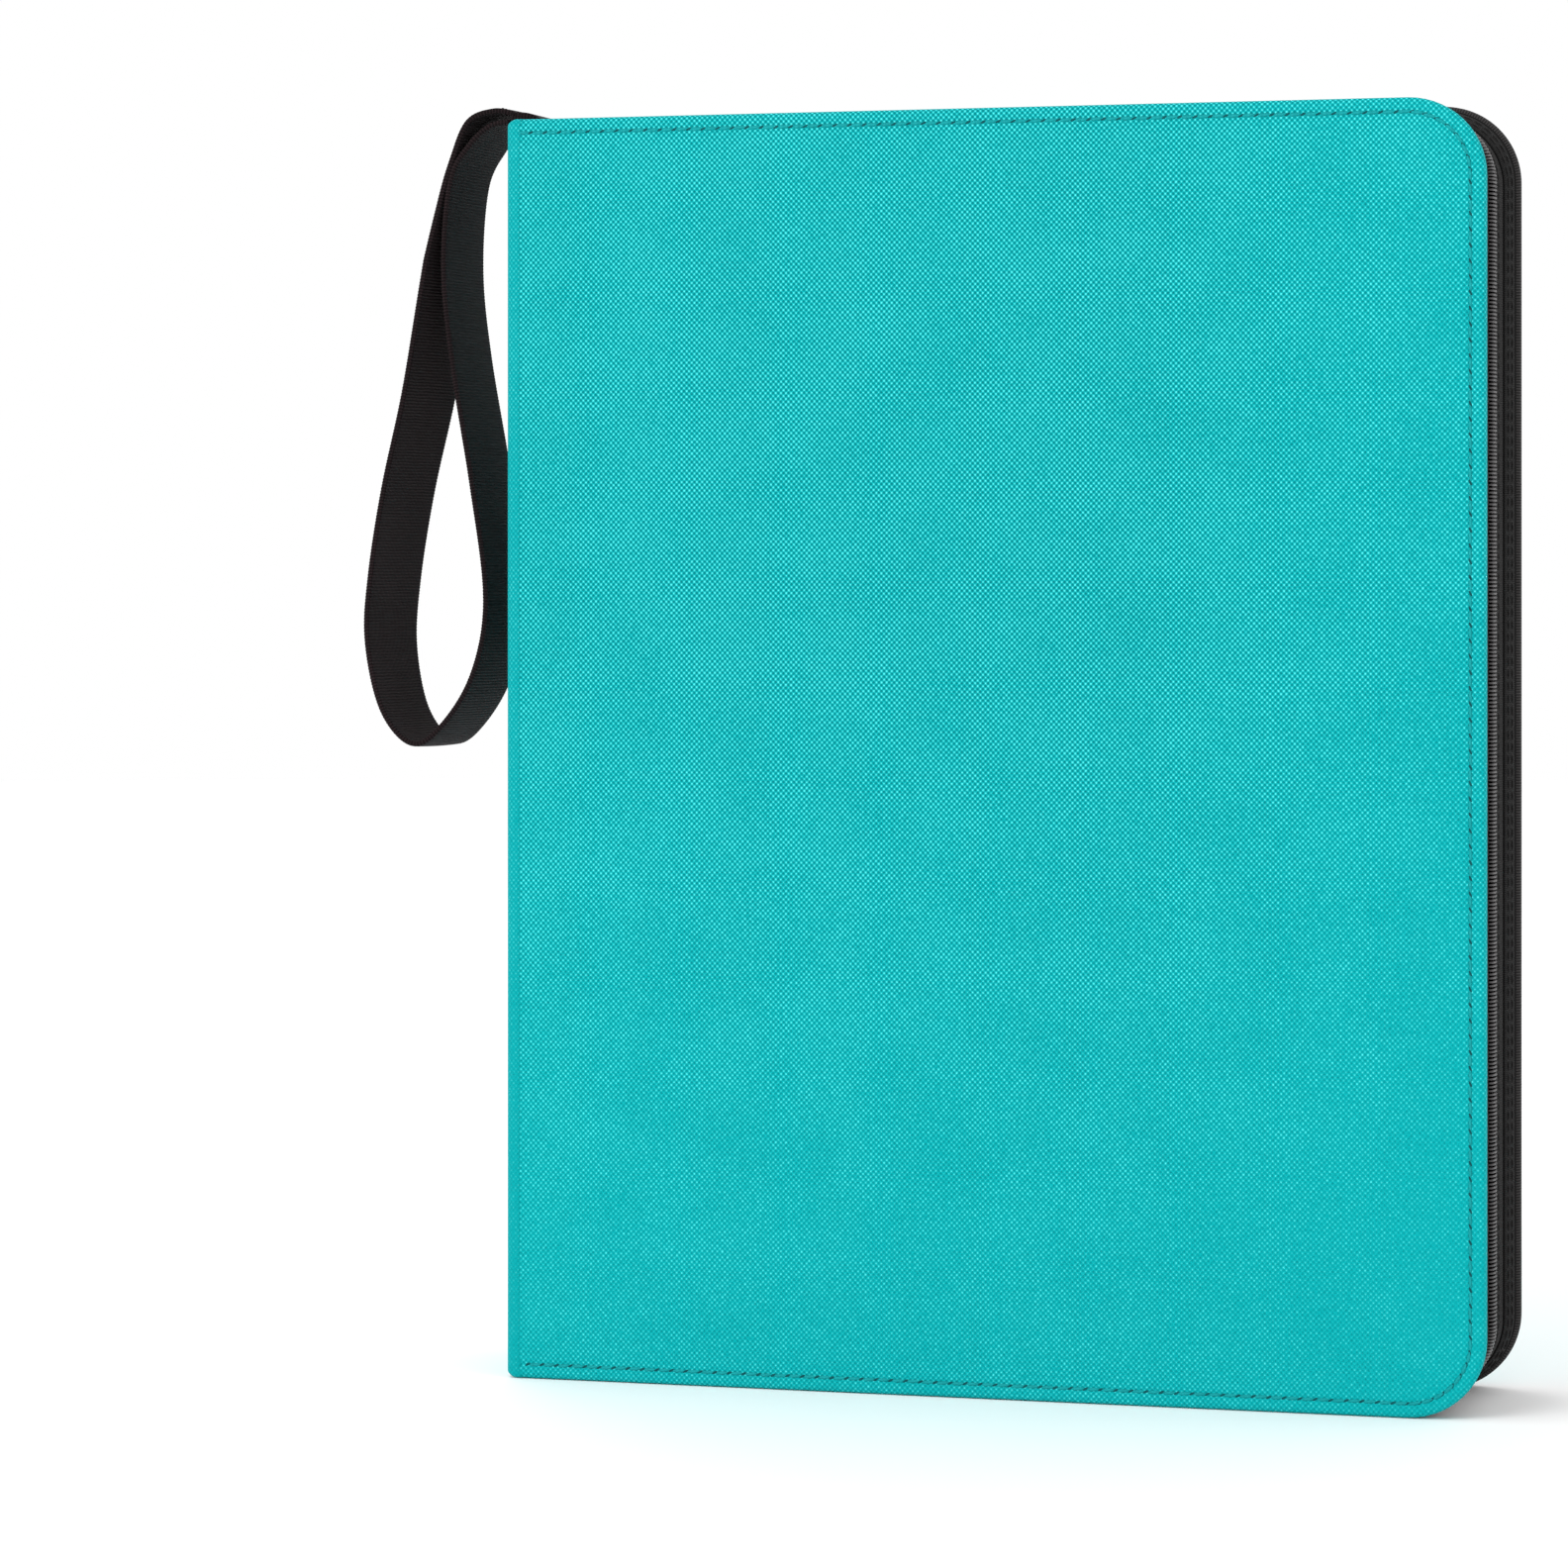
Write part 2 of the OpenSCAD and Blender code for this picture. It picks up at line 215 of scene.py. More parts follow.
# ---- The cover outline, from the spine's top round the zip corners to the spine's bottom ----
def outline(x0, step=8 * MM, arc_steps=14):
    """Points on the cover's edge, their outward normals and the distance along, from x = x0."""
    r = CORNER_R
    run, height = ZIP_X - r - x0, TOP - 2 * r
    n, m = max(2, int(run / step)), int(height / step)
    arc = [(math.sin(a), math.cos(a)) for a in (math.pi / 2 * i / arc_steps for i in range(arc_steps + 1))]
    rows = [(x0 + run * i / n, TOP, 0, 1) for i in range(n)]
    rows += [(ZIP_X - r + r * up, TOP - r + r * out, up, out) for up, out in arc]
    rows += [(ZIP_X, TOP - r - height * i / m, 1, 0) for i in range(1, m)]
    rows += [(ZIP_X - r + r * out, r - r * up, out, -up) for up, out in arc]
    rows += [(ZIP_X - r - run * i / n, 0, 0, -1) for i in range(1, n + 1)]
    rows = np.array(rows, float)
    return rows[:, :2], rows[:, 2:], distances(rows[:, :2])


def place_on(points, normals, depth, y):
    """3-D points at a depth inside the outline and at y."""
    p = points - depth * normals
    return np.column_stack([p[:, 0], np.full(len(p), y), np.maximum(p[:, 1], 0)])


def sweep(name, path, profile):
    """Carries a closed profile of (depth, y) pairs along the outline. UVs are metres along and across."""
    points, normals, along = path
    cols = len(profile)
    grid = np.stack([place_on(points, normals, d, y) for d, y in profile], axis=1).reshape(-1, 3)
    uvs = np.column_stack([np.repeat(along, cols), np.tile(distances(profile), len(points))])
    return mesh_object(name, grid, tube_faces(len(points), cols), uvs)


def evenly(path, spacing, start=0.0, end=0.0):
    """Places at an even spacing along a path: points and normals."""
    points, normals, along = path
    n = int((along[-1] - start - end) / spacing)
    s = start + spacing * (np.arange(n) + 0.5)
    px, pz = np.interp(s, along, points[:, 0]), np.interp(s, along, points[:, 1])
    nx, nz = np.interp(s, along, normals[:, 0]), np.interp(s, along, normals[:, 1])
    length = np.hypot(nx, nz)
    return np.column_stack([px, pz]), np.column_stack([nx / length, nz / length])


# ---- Material helpers ----
class Graph:
    """A material's node tree, with short ways to add nodes."""

    def __init__(self, name):
        self.material = bpy.data.materials.new(name)
        self.material.use_nodes = True
        self.tree = self.material.node_tree
        self.shader = self.tree.nodes["Principled BSDF"]

    def node(self, kind, inputs=(), out=0, **settings):
        n = self.tree.nodes.new(kind)
        for key, value in settings.items():
            setattr(n, key, value)
        for key, value in dict(inputs).items():
            self.set(n.inputs[key], value)
        return n.outputs[out]

    def set(self, socket, value):
        if isinstance(value, bpy.types.NodeSocket):
            self.tree.links.new(value, socket)
        else:
            socket.default_value = value

    def maths(self, operation, a, b=0.0, c=0.0):
        return self.node("ShaderNodeMath", {0: a, 1: b, 2: c}, operation=operation)

    def add(self, a, b):
        return self.maths("ADD", a, b)

    def minus(self, a, b):
        return self.maths("SUBTRACT", a, b)

    def sine(self, a):
        return self.maths("SINE", a)

    def times(self, a, b, plus=None):
        """a times b, and plus something."""
        if plus is None:
            return self.maths("MULTIPLY", a, b)
        return self.maths("MULTIPLY_ADD", a, b, plus)

    def fade(self, value, start, end, before, after):
        """Goes from before to after as the value goes from start to end."""
        return self.node("ShaderNodeMapRange", {0: value, 1: start, 2: end, 3: before, 4: after})

    def mix(self, factor, a, b, blend="MIX"):
        return self.node("ShaderNodeMix", {0: factor, 6: a, 7: b}, out=2, data_type="RGBA",
                         blend_type=blend)

    def uv(self):
        split = self.tree.nodes.new("ShaderNodeSeparateXYZ")
        self.tree.links.new(self.node("ShaderNodeUVMap", uv_map="UVMap"), split.inputs[0])
        return split.outputs[0], split.outputs[1]

    def place(self):
        return self.node("ShaderNodeTexCoord", out="Object")

    def noise(self, scale, detail=3.0, vector=None, rough=0.5):
        return self.node("ShaderNodeTexNoise", {"Scale": scale, "Detail": detail, "Roughness": rough,
                                                "Vector": vector or self.place()})

    def ramp(self, value, stops):
        n = self.tree.nodes.new("ShaderNodeValToRGB")
        self.set(n.inputs[0], value)
        elements = n.color_ramp.elements
        while len(elements) < len(stops):
            elements.new(0.5)
        for e, (position, colour) in zip(elements, stops):
            e.position = position
            e.color = (*colour, 1)
        return n.outputs[0]

    def bump(self, height, strength, distance, normal=None):
        inputs = {"Strength": strength, "Distance": distance, "Height": height}
        if normal is not None:
            inputs["Normal"] = normal
        return self.node("ShaderNodeBump", inputs)

    def finish(self, **inputs):
        names = {"base": "Base Color", "rough": "Roughness", "metal": "Metallic", "normal": "Normal",
                 "sheen": "Sheen Weight", "sheen_rough": "Sheen Roughness", "alpha": "Alpha",
                 "coat": "Coat Weight", "coat_rough": "Coat Roughness", "specular": "Specular IOR Level"}
        for key, value in inputs.items():
            self.set(self.shader.inputs[names[key]], value)
        return self.material


def woven(name, colour, light, dark, bump, sheen_contrast=1.0, pitch_u=1.4 * MM, pitch_v=0.75 * MM):
    """Plain weave: a staggered lattice of yarn crowns with uneven yarns, painted lighter on the crowns as a
    sheen highlight and darker between them as shade.
    It is flatter, with weaker painted highlights and a colour darkened as painted shade, towards the zip
    edge and the bottom, by the UVs in metres: a painted light falloff."""
    g = Graph(name)
    u, v = g.uv()
    wobble = g.times(g.minus(g.noise(90, 2), 0.5), 0.00035)
    wave_u = g.sine(g.times(g.add(u, wobble), 2 * math.pi / pitch_u))
    wave_v = g.sine(g.times(g.add(v, wobble), math.pi / pitch_v))
    # Painted light falloff by the UVs: lower towards the zip edge and the bottom.
    painted_light_falloff = g.times(g.fade(u, 0.04, 0.125, 1.0, 0.72), g.fade(v, 0.04, 0.2, 0.68, 1.14))
    crown = g.times(g.times(wave_u, wave_v), painted_light_falloff)
    fibres = g.noise(2600, 2)
    height = g.add(crown, g.times(fibres, 0.5))
    patch = g.noise(38, 4, rough=0.62)
    knots = g.noise(1100, 2)
    # Painted sheen highlight and painted shade: the colour follows the crown height, lighter on the crowns
    # and darker in the valleys.
    level = g.times(crown, 0.5 * sheen_contrast, 0.5)
    spread = g.times(patch, 0.35, g.times(knots, 0.9, 0.38))
    level = g.times(level, spread)
    # light is the painted highlight colour and dark is the painted shade colour.
    base = g.ramp(level, [(0.08, dark), (0.42, colour), (0.62, colour), (0.95, light)])
    # Painted shade: the colour is darkened where the painted light falloff is low.
    base = g.mix(g.minus(1.0, painted_light_falloff), base, (0.8, 0.86, 0.86, 1), "MULTIPLY")
    return g.finish(base=base, rough=g.times(fibres, 0.2, 0.65), specular=0.06,
                    normal=g.bump(height, 0.85, bump))


def ribbed(name, colour, light, pitch, bump):
    """Cross-ribbed tape or webbing: ribs across its length, with fine warp yarns between them, and a
    painted sheen highlight on the rib crowns.
    """
    g = Graph(name)
    u, v = g.uv()
    wobble = g.times(g.minus(g.noise(160, 2), 0.5), 0.0004)
    rib = g.sine(g.times(g.add(u, wobble), 2 * math.pi / pitch))
    yarn = g.sine(g.times(v, 2 * math.pi / (pitch * 0.8)))
    height = g.add(rib, g.times(yarn, 0.35))
    height = g.add(height, g.times(g.noise(2200, 2), 0.6))
    patch = g.noise(45, 4)
    # Painted sheen highlight: the rib crowns are painted lighter, and patch noise adds uneven tone.
    level = g.times(g.times(rib, 0.35, 0.5), g.times(patch, 0.9, 0.5))
    base = g.ramp(level, [(0.1, colour), (0.9, light)])
    return g.finish(base=base, rough=0.7, sheen=0.02, sheen_rough=0.45, specular=0.08,
                    normal=g.bump(height, 0.7, bump))


def plain_cloth(name, colour, light, scale=1500):
    """Fine plain cloth with no direction: thread noise, lint and soft shade changes."""
    g = Graph(name)
    threads = g.noise(scale, 3)
    patch = g.noise(22, 4)
    level = g.add(g.times(threads, 0.55), g.times(patch, 0.45))
    base = g.ramp(level, [(0.3, colour), (0.75, light)])
    return g.finish(base=base, rough=0.85, sheen=0.02, sheen_rough=0.5, specular=0.15,
                    normal=g.bump(threads, 0.5, 0.00012))


def metal(name, colour, rough, metallic=1.0):
    """Plated or painted metal with fine scratches and a little smudging."""
    g = Graph(name)
    smudge = g.noise(60, 4)
    stretch = g.node("ShaderNodeMapping", {"Vector": g.place(), "Scale": (400, 400, 3500)})
    scratch = g.noise(1.0, 2, vector=stretch)
    base = g.ramp(smudge, [(0.3, tuple(c * 0.86 for c in colour)), (0.7, colour)])
    return g.finish(base=base, rough=g.times(smudge, 0.18, rough - 0.06), metal=metallic,
                    normal=g.bump(scratch, 0.25, 0.00003))


def plastic(name, colour, light, rough, grain=900, bump=0.00006):
    """Moulded plastic or rubber with a fine grain and slightly uneven gloss."""
    g = Graph(name)
    fine = g.noise(grain, 3)
    patch = g.noise(30, 4)
    base = g.ramp(g.times(fine, 0.4, g.times(patch, 0.6)), [(0.3, colour), (0.75, light)])
    return g.finish(base=base, rough=g.times(patch, 0.2, rough - 0.1),
                    normal=g.bump(fine, 0.5, bump))


def clear_film(name):
    """Clear embossed film over the pockets: thin, glossy and a little wavy."""
    g = Graph(name)
    wave = g.noise(14, 3)
    grain = g.noise(1400, 2)
    normal = g.bump(wave, 0.5, 0.002, g.bump(grain, 0.15, 0.00004))
    return g.finish(base=(0.78, 0.8, 0.83, 1), rough=0.16, alpha=0.05, specular=0.4, normal=normal)


def card_print(name):
    """Generic printed cards: a white border round a two-tone field, a ball, a badge and two bars.
    The UVs run from 0 to 1 across each card, and card_seed changes the colours."""
    g = Graph(name)
    u, v = g.uv()
    seed = g.node("ShaderNodeAttribute", out="Fac", attribute_name="card_seed")

    def pick(shift, colours):
        spread = g.maths("FRACT", g.times(seed, 7.31, shift))
        return g.ramp(spread, [(i / len(colours), c) for i, c in enumerate(colours)])

    def inside(lo_u, hi_u, lo_v, hi_v):
        across = g.times(g.maths("GREATER_THAN", u, lo_u), g.maths("LESS_THAN", u, hi_u))
        up = g.times(g.maths("GREATER_THAN", v, lo_v), g.maths("LESS_THAN", v, hi_v))
        return g.times(across, up)

    def disc(cu, cv, radius):
        du = g.times(g.minus(u, cu), CARD_W / CARD_H)
        dv = g.minus(v, cv)
        far = g.maths("SQRT", g.add(g.times(du, du), g.times(dv, dv)))
        return g.maths("LESS_THAN", far, radius)

    dark = [(0.01, 0.02, 0.06), (0.04, 0.02, 0.015), (0.01, 0.05, 0.09), (0.03, 0.03, 0.035)]
    bright = [(0.3, 0.38, 0.5), (0.42, 0.32, 0.22), (0.12, 0.26, 0.48), (0.34, 0.34, 0.38)]
    stripes = [(0.7, 0.7, 0.72), (0.62, 0.06, 0.01), (0.02, 0.09, 0.45), (0.01, 0.2, 0.07),
               (0.75, 0.4, 0.01)]
    badges = [(0.05, 0.35, 0.1), (0.04, 0.2, 0.5), (0.5, 0.08, 0.05)]
    bars = [(0.8, 0.2, 0.12), (0.3, 0.25, 0.7), (0.9, 0.75, 0.2)]
    place = g.node("ShaderNodeCombineXYZ", {0: u, 1: v, 2: g.times(seed, 40)})
    crowd = g.noise(34, 5, vector=place, rough=0.75)
    blur = g.noise(3.2, 3, vector=place)
    tiers = g.sine(g.times(v, 46.0, g.times(blur, 9.0)))
    lit = g.times(tiers, 0.22, g.times(crowd, 2.6, -0.95))
    far_side = g.mix(g.times(g.add(lit, blur), 0.6), pick(0.1, dark), pick(0.6, bright))
    mown = g.sine(g.times(g.add(u, g.times(v, 0.6)), 30.0))
    turf = g.mix(g.times(mown, 0.25, blur), (0.02, 0.11, 0.008, 1), (0.1, 0.32, 0.025, 1))
    horizon = g.times(g.maths("FRACT", g.times(seed, 3.7)), 0.3, 0.15)
    picture = g.mix(g.maths("GREATER_THAN", v, horizon), turf, far_side)
    slant = g.add(g.times(u, 0.8), g.times(v, 0.6, g.times(seed, 5)))
    streak = g.maths("PINGPONG", slant, 0.35)
    flash = g.times(g.maths("GREATER_THAN", streak, 0.24), inside(0.16, 0.84, 0.2, 0.86))
    picture = g.mix(g.times(flash, 0.85), picture, pick(0.3, stripes))
    ball_v = g.times(g.maths("FRACT", g.times(seed, 9.1)), 0.35, 0.3)
    ball_u = g.times(g.maths("FRACT", g.times(seed, 5.3)), 0.5, 0.25)
    panels = g.node("ShaderNodeTexVoronoi", {"Vector": place, "Scale": 11.0}, feature="DISTANCE_TO_EDGE")
    face = g.mix(g.maths("LESS_THAN", panels, 0.05), (0.85, 0.85, 0.83, 1), (0.05, 0.05, 0.06, 1))
    picture = g.mix(disc(ball_u, ball_v, 0.11), picture, face)
    badge = g.mix(disc(0.2, 0.86, 0.045), (0.85, 0.87, 0.85, 1), pick(0.8, badges))
    picture = g.mix(disc(0.2, 0.86, 0.06), picture, badge)
    picture = g.mix(inside(0.12, 0.6, 0.1, 0.125), picture, pick(0.45, bars))
    picture = g.mix(inside(0.12, 0.48, 0.07, 0.088), picture, (0.8, 0.82, 0.8, 1))
    base = g.mix(inside(0.055, 0.945, 0.04, 0.96), (0.74, 0.74, 0.72, 1), picture)
    line = g.minus(inside(0.085, 0.915, 0.06, 0.94), inside(0.093, 0.907, 0.066, 0.934))
    base = g.mix(g.times(line, 0.7), base, (0.85, 0.85, 0.85, 1))
    return g.finish(base=base, rough=0.38, coat=0.25, coat_rough=0.12,
                    normal=g.bump(g.noise(700, 2), 0.1, 0.00002))


def thread(name, colour):
    """Sewing thread with a twist, painted darker along the twist's grooves as shade and uneven by noise."""
    g = Graph(name)
    u, v = g.uv()
    twist = g.sine(g.times(g.add(u, v), 2 * math.pi / 0.0004))
    # Painted shade in the twist grooves, mixed with uneven tone from noise.
    base = g.ramp(g.times(twist, 0.3, g.noise(700, 2)),
                  [(0.3, tuple(c * 0.7 for c in colour)), (0.8, colour)])
    return g.finish(base=base, rough=0.7, specular=0.15, normal=g.bump(twist, 0.5, 0.00006))


M = {
    # teal: the light colour is a painted sheen highlight on the yarn crowns, and the dark colour is painted
    # shade between them.
    "teal": woven("teal_weave", (0.0012, 0.44, 0.46), (0.09, 0.87, 0.87), (0.0002, 0.21, 0.23), 0.0003),
    # fold: a darker, flatter copy of the teal, painted shade for the folds, which turn away from the light.
    "fold": woven("teal_fold_painted_shade", (0.001, 0.38, 0.4), (0.06, 0.6, 0.6), (0.002, 0.24, 0.26), 0.00015, 0.7),
    "teal_thread": thread("teal_thread", (0.006, 0.4, 0.42)),
    # needle_hole_painted_shade: painted shade, the dark inside the needle holes.
    "needle_hole_painted_shade": plain_cloth("needle_hole_painted_shade", (0.001, 0.06, 0.07), (0.002, 0.1, 0.11)),
    "lining": plain_cloth("black_lining", (0.006, 0.006, 0.0065), (0.014, 0.014, 0.015)),
    "band": ribbed("band_fabric", (0.0015, 0.0014, 0.0014), (0.009, 0.0085, 0.0085), 0.5 * MM, 0.00012),
    # binding: a real binding strip; its lighter tone than the band is a painted glancing sheen.
    "binding": ribbed("binding_fabric_painted_sheen", (0.006, 0.0056, 0.0056), (0.05, 0.047, 0.047), 0.72 * MM, 0.0002),
    "tape": ribbed("zip_tape", (0.002, 0.0018, 0.0018), (0.012, 0.011, 0.011), 0.6 * MM, 0.00008),
    "coil": plastic("zip_coil", (0.015, 0.0135, 0.014), (0.058, 0.052, 0.054), 0.36),
    "webbing": ribbed("webbing", (0.0056, 0.0033, 0.0037), (0.029, 0.0175, 0.0195), 0.85 * MM,
                      0.0003),
    "black_thread": thread("black_thread", (0.022, 0.021, 0.021)),
    "slider": metal("slider_paint", (0.02, 0.02, 0.021), 0.35, metallic=0.6),
    "rubber": plastic("pull_rubber", (0.035, 0.037, 0.04), (0.07, 0.072, 0.077), 0.6),
    "cord": ribbed("pull_cord", (0.006, 0.006, 0.006), (0.03, 0.03, 0.03), 0.5 * MM, 0.00012),
    "ring": metal("ring_steel", (0.84, 0.84, 0.85), 0.16),
    "plate": metal("plated_steel", (0.6, 0.6, 0.61), 0.32),
    "base": metal("base_paint", (0.012, 0.012, 0.013), 0.42, metallic=0.4),
    "page": plastic("page_backing", (0.005, 0.005, 0.006), (0.013, 0.013, 0.015), 0.5, grain=2600,
                    bump=0.00005),
    "film": clear_film("page_film"),
    "weld": plastic("weld_dots", (0.14, 0.14, 0.145), (0.3, 0.3, 0.31), 0.3),
    "print": card_print("card_print"),
    "board": plain_cloth("grey_board", (0.2, 0.15, 0.1), (0.32, 0.26, 0.18), scale=500),
}


# ---- Camera, floor and light ----
camera = bpy.data.objects.new("camera", bpy.data.cameras.new("camera"))
bpy.context.scene.collection.objects.link(camera)
bpy.context.scene.camera = camera
camera.location = (0.338, -1.392, 0.216)
camera.rotation_euler = (math.radians(90), 0, math.radians(16.353))
camera.data.lens = 121.76
camera.data.shift_y = -0.1389
camera.data.clip_start = 0.02


def lamp(name, place, target, size, power):
    data = bpy.data.lights.new(name, "AREA")
    data.shape = "DISK"
    data.size = size
    data.energy = power
    obj = bpy.data.objects.new(name, data)
    bpy.context.scene.collection.objects.link(obj)
    obj.location = place
    obj.rotation_euler = (Vector(target) - Vector(place)).to_track_quat("-Z", "Y").to_euler()


def studio():
    g = Graph("studio_floor")
    g.finish(base=(1, 1, 1, 1), rough=0.9, normal=g.bump(g.noise(40, 3), 0.05, 0.0005))
    sides, radii = 96, (1.2, 2.4, 4.0)
    floor_z = CAD_BOX[0][2] - 0.1 * MM
    points = [(r * math.cos(a), r * math.sin(a), floor_z) for r in radii for a in turns(sides)]
    faces = grid_faces(len(radii), sides, wrap_cols=True, flip=True) + [list(range(sides))]
    floor = mesh_object("studio_floor", points, faces, smooth=False)
    floor.data.materials.append(g.material)
    world = bpy.data.worlds.new("studio")
    bpy.context.scene.world = world
    world.use_nodes = True
    sky = world.node_tree.nodes["Background"]
    sky.inputs[0].default_value = (1, 1, 1, 1)
    sky.inputs[1].default_value = 1.0
    lamp("key_light", (-0.7, -1.5, 1.5), (0, 0, 0.17), 1.2, 14)
    lamp("side_light", (1.5, -0.9, 0.9), (0.1, 0, 0.17), 0.8, 2)
    lamp("back_light", (-0.9, 1.2, 1.4), (0, 0, 0.17), 1.0, 5)
    bpy.context.scene.view_settings.view_transform = "Standard"


studio()


# ---- Covers ----
# The cloth's way over a cover's edge: (depth inside the outline, distance in from the face), in mm.
COVER_EDGE = [(0.85, 4.0), (0.3, 3.95), (0.05, 3.6), (0.0, 3.0), (0.0, 1.7), (0.08, 1.15), (0.28, 0.65),
              (0.62, 0.28), (1.1, 0.08), (1.7, 0.0), (2.4, 0.0), (2.7, 0.0), (3.15, 0.04), (3.5, 0.16),
              (3.8, 0.22), (4.1, 0.16), (4.45, 0.04), (4.8, 0.0), (5.1, 0.0), (9.0, 0.0)]


def cloth_panel(side, s):
    """A cover's outer cloth: turned over its edge, with a sunk line where the stitches run."""
    points, normals, _ = outline(COVER_X)
    profile = [(d * MM, face_y(s) - s * y * MM) for d, y in COVER_EDGE]
    wrap = distances(profile)
    wrap = wrap[-1] - wrap
    cols = len(profile)
    grid, uvs = [], []
    for p, n in zip(points, normals):
        base = p - profile[-1][0] * n
        for (d, y), w in zip(profile, wrap):
            q = p - d * n
            grid.append((q[0], y, q[1]))
            uvs.append(base + w * n)
    faces = grid_faces(len(points), cols, flip=s < 0)
    rim = [i * cols + cols - 1 for i in range(len(points))]
    faces.append(rim[::-1] if s < 0 else rim)
    obj = mesh_object(f"{side}_cover_cloth", grid, faces, uvs)
    dress(obj, M["teal"], f"{side}_cover", [f"{side}_skin"])


for side, s in SIDES.items():
    cloth_panel(side, s)


def stitch(parts, at, along, up, length, radius, slant=0.0):
    """One stitch: a short rounded loop of thread that dives into the cloth at both ends."""
    steps, sides, sink = 5, 6, 0.35
    side = np.cross(up, along)
    grid, uvs = [], []
    for i in range(steps + 1):
        t = i / steps
        lift = math.sin(math.pi * t) ** 0.6
        r = radius * (0.62 + 0.38 * lift)
        centre = at + along * length * (t - 0.5) + up * radius * (lift * (1 - sink) - sink)
        centre = centre + side * radius * slant * (t - 0.5)
        for a in turns(sides):
            grid.append(centre + r * (math.cos(a) * side + 0.8 * math.sin(a) * up))
            uvs.append((t * length, radius * a))
    parts.add(grid, grid_faces(steps + 1, sides, wrap_cols=True), uvs)


def hole(parts, at, along, up, radius):
    """A needle mark: a short slanted flat patch between two stitches, painted dark as the shade inside the
    needle hole.
    """
    side = np.cross(up, along)
    long, wide = 1.9 * radius * (along + 0.45 * side), 0.85 * radius * side
    parts.add([at + up * 0.06 * MM + math.cos(a) * long + math.sin(a) * wide for a in turns(10)],
              [list(range(10))])


def stitch_row(name, path, depth, y, out, pitch, radius, body, material, ends, holes=False):
    """A line of stitches that follows the outline at a depth and y, and stops short of both its ends.
    out is +1 or -1 where they stand out along Y, and 0 where they stand out of the zip wall."""
    rng = random.Random(len(name) * 7)
    threads, marks = Parts(), Parts()
    for (px, pz), (nx, nz) in zip(*evenly(path, pitch, ends, ends)):
        at = np.array([px - depth * nx, y, pz - depth * nz])
        along = np.array([nz, 0.0, -nx])
        up = out * Y_AXIS if out else np.array([nx, 0.0, nz])
        at = at + np.cross(up, along) * rng.uniform(-0.06, 0.06) * MM
        stitch(threads, at, along, up, 0.78 * pitch * rng.uniform(0.94, 1.03), radius, slant=0.5)
        if holes:
            hole(marks, at + along * pitch / 2, along, up, 0.9 * radius)
    dress(threads.make(name), material, body)
    if holes:
        dress(marks.make(name + "_holes", False), M["needle_hole_painted_shade"], body)


stitch_row("front_cover_stitches", outline(COVER_X - 1.5 * MM, step=4 * MM, arc_steps=20), 3.8 * MM,
           FRONT_Y + 0.16 * MM, -1, 4.0 * MM, 0.42 * MM, "front_cover", M["teal_thread"],
           0.5 * MM, holes=True)
stitch_row("back_binding_stitches", outline(low("back_band").x, step=4 * MM, arc_steps=20), 3.5 * MM,
           BACK_Y + 0.46 * MM, 1, 4.0 * MM, 0.36 * MM, "back_cover", M["black_thread"],
           1 * MM)


# ---- Spine cloth and its two folds ----
SPINE_DROP = 0.9 * MM  # how far the spine's ends lie below the covers'


def channel(name, section, uvs_x, thickness, drops):
    """Cloth round a board: an outer line in X and Y, turned over at its top and bottom edges.
    section holds (x, y, normal x, normal y), and drops is how far the edge falls at each point."""
    turn, turn_r = [(0.0, 1.0), (0.0, 0.5), (0.04, 0.25), (0.14, 0.1), (0.3, 0.0)], 2.2 * MM
    edge = turn + [(0.7, 0.0), (0.86, 0.1), (0.96, 0.25), (1.0, 0.5), (1.0, 1.0)]
    loop = [(share, TOP, -1, fall) for share, fall in edge]
    loop += [(share, 0.0, 1, fall) for share, fall in edge[::-1]]
    grid, uvs = [], []
    for (x, y, nx, ny), ux, drop in zip(section, uvs_x, drops):
        for share, z, sign, fall in loop:
            t = share * thickness
            z += sign * (fall * turn_r + drop)
            grid.append((x - nx * t, y - ny * t, z))
            uvs.append((ux, z - sign * t))
    obj = mesh_object(name, grid, tube_faces(len(section), len(loop)), uvs)
    for i in range(len(section) - 1):
        obj.data.polygons[i * len(loop) + len(edge) - 1].material_index = 1
    return obj


def fold_section(s, radius=3.2 * MM, steps=12):
    """Outer line of a fold from the cover to the spine."""
    cx, cy = SPINE_X + radius, face_y(s) - s * radius
    rows = [(COVER_X + 0.4 * MM, face_y(s) - s * 0.02 * MM, 0.0, s)]
    for i in range(steps + 1):
        a = math.pi / 2 * i / steps
        nx, ny = -math.sin(a), s * math.cos(a)
        rows.append((cx + radius * nx, cy + radius * ny, nx, ny))
    rows.append((SPINE_X, wall_y(s, SPINE_HALF * 0.99), -1.0, 0.0))
    return rows


for side, s in SIDES.items():
    rows = fold_section(s)
    run = distances([row[:2] for row in rows])
    drops = [0.0] + [SPINE_DROP * math.sin(math.pi / 2 * i / 12) ** 2 for i in range(13)] + [SPINE_DROP]
    fold = channel(f"{side}_fold_cloth", rows, rows[0][0] - run, 3.0 * MM, drops)
    # The folds take the darker teal copy: painted shade.
    dress(fold, M["fold"], replaces=[f"{side}_fold"], second=M["lining"])
    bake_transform(fold)

spine_ys = [MID_Y - SPINE_HALF + 2 * SPINE_HALF * i / 40 for i in range(41)]
spine_cloth = channel("spine_cloth", [(SPINE_X, y, -1.0, 0.0) for y in spine_ys],
                      [y - 20 * MM for y in spine_ys], 4.0 * MM, [SPINE_DROP] * len(spine_ys))
dress(spine_cloth, M["teal"], "spine", ["spine_skin", "spine_board", "spine_lining"],
      M["lining"])


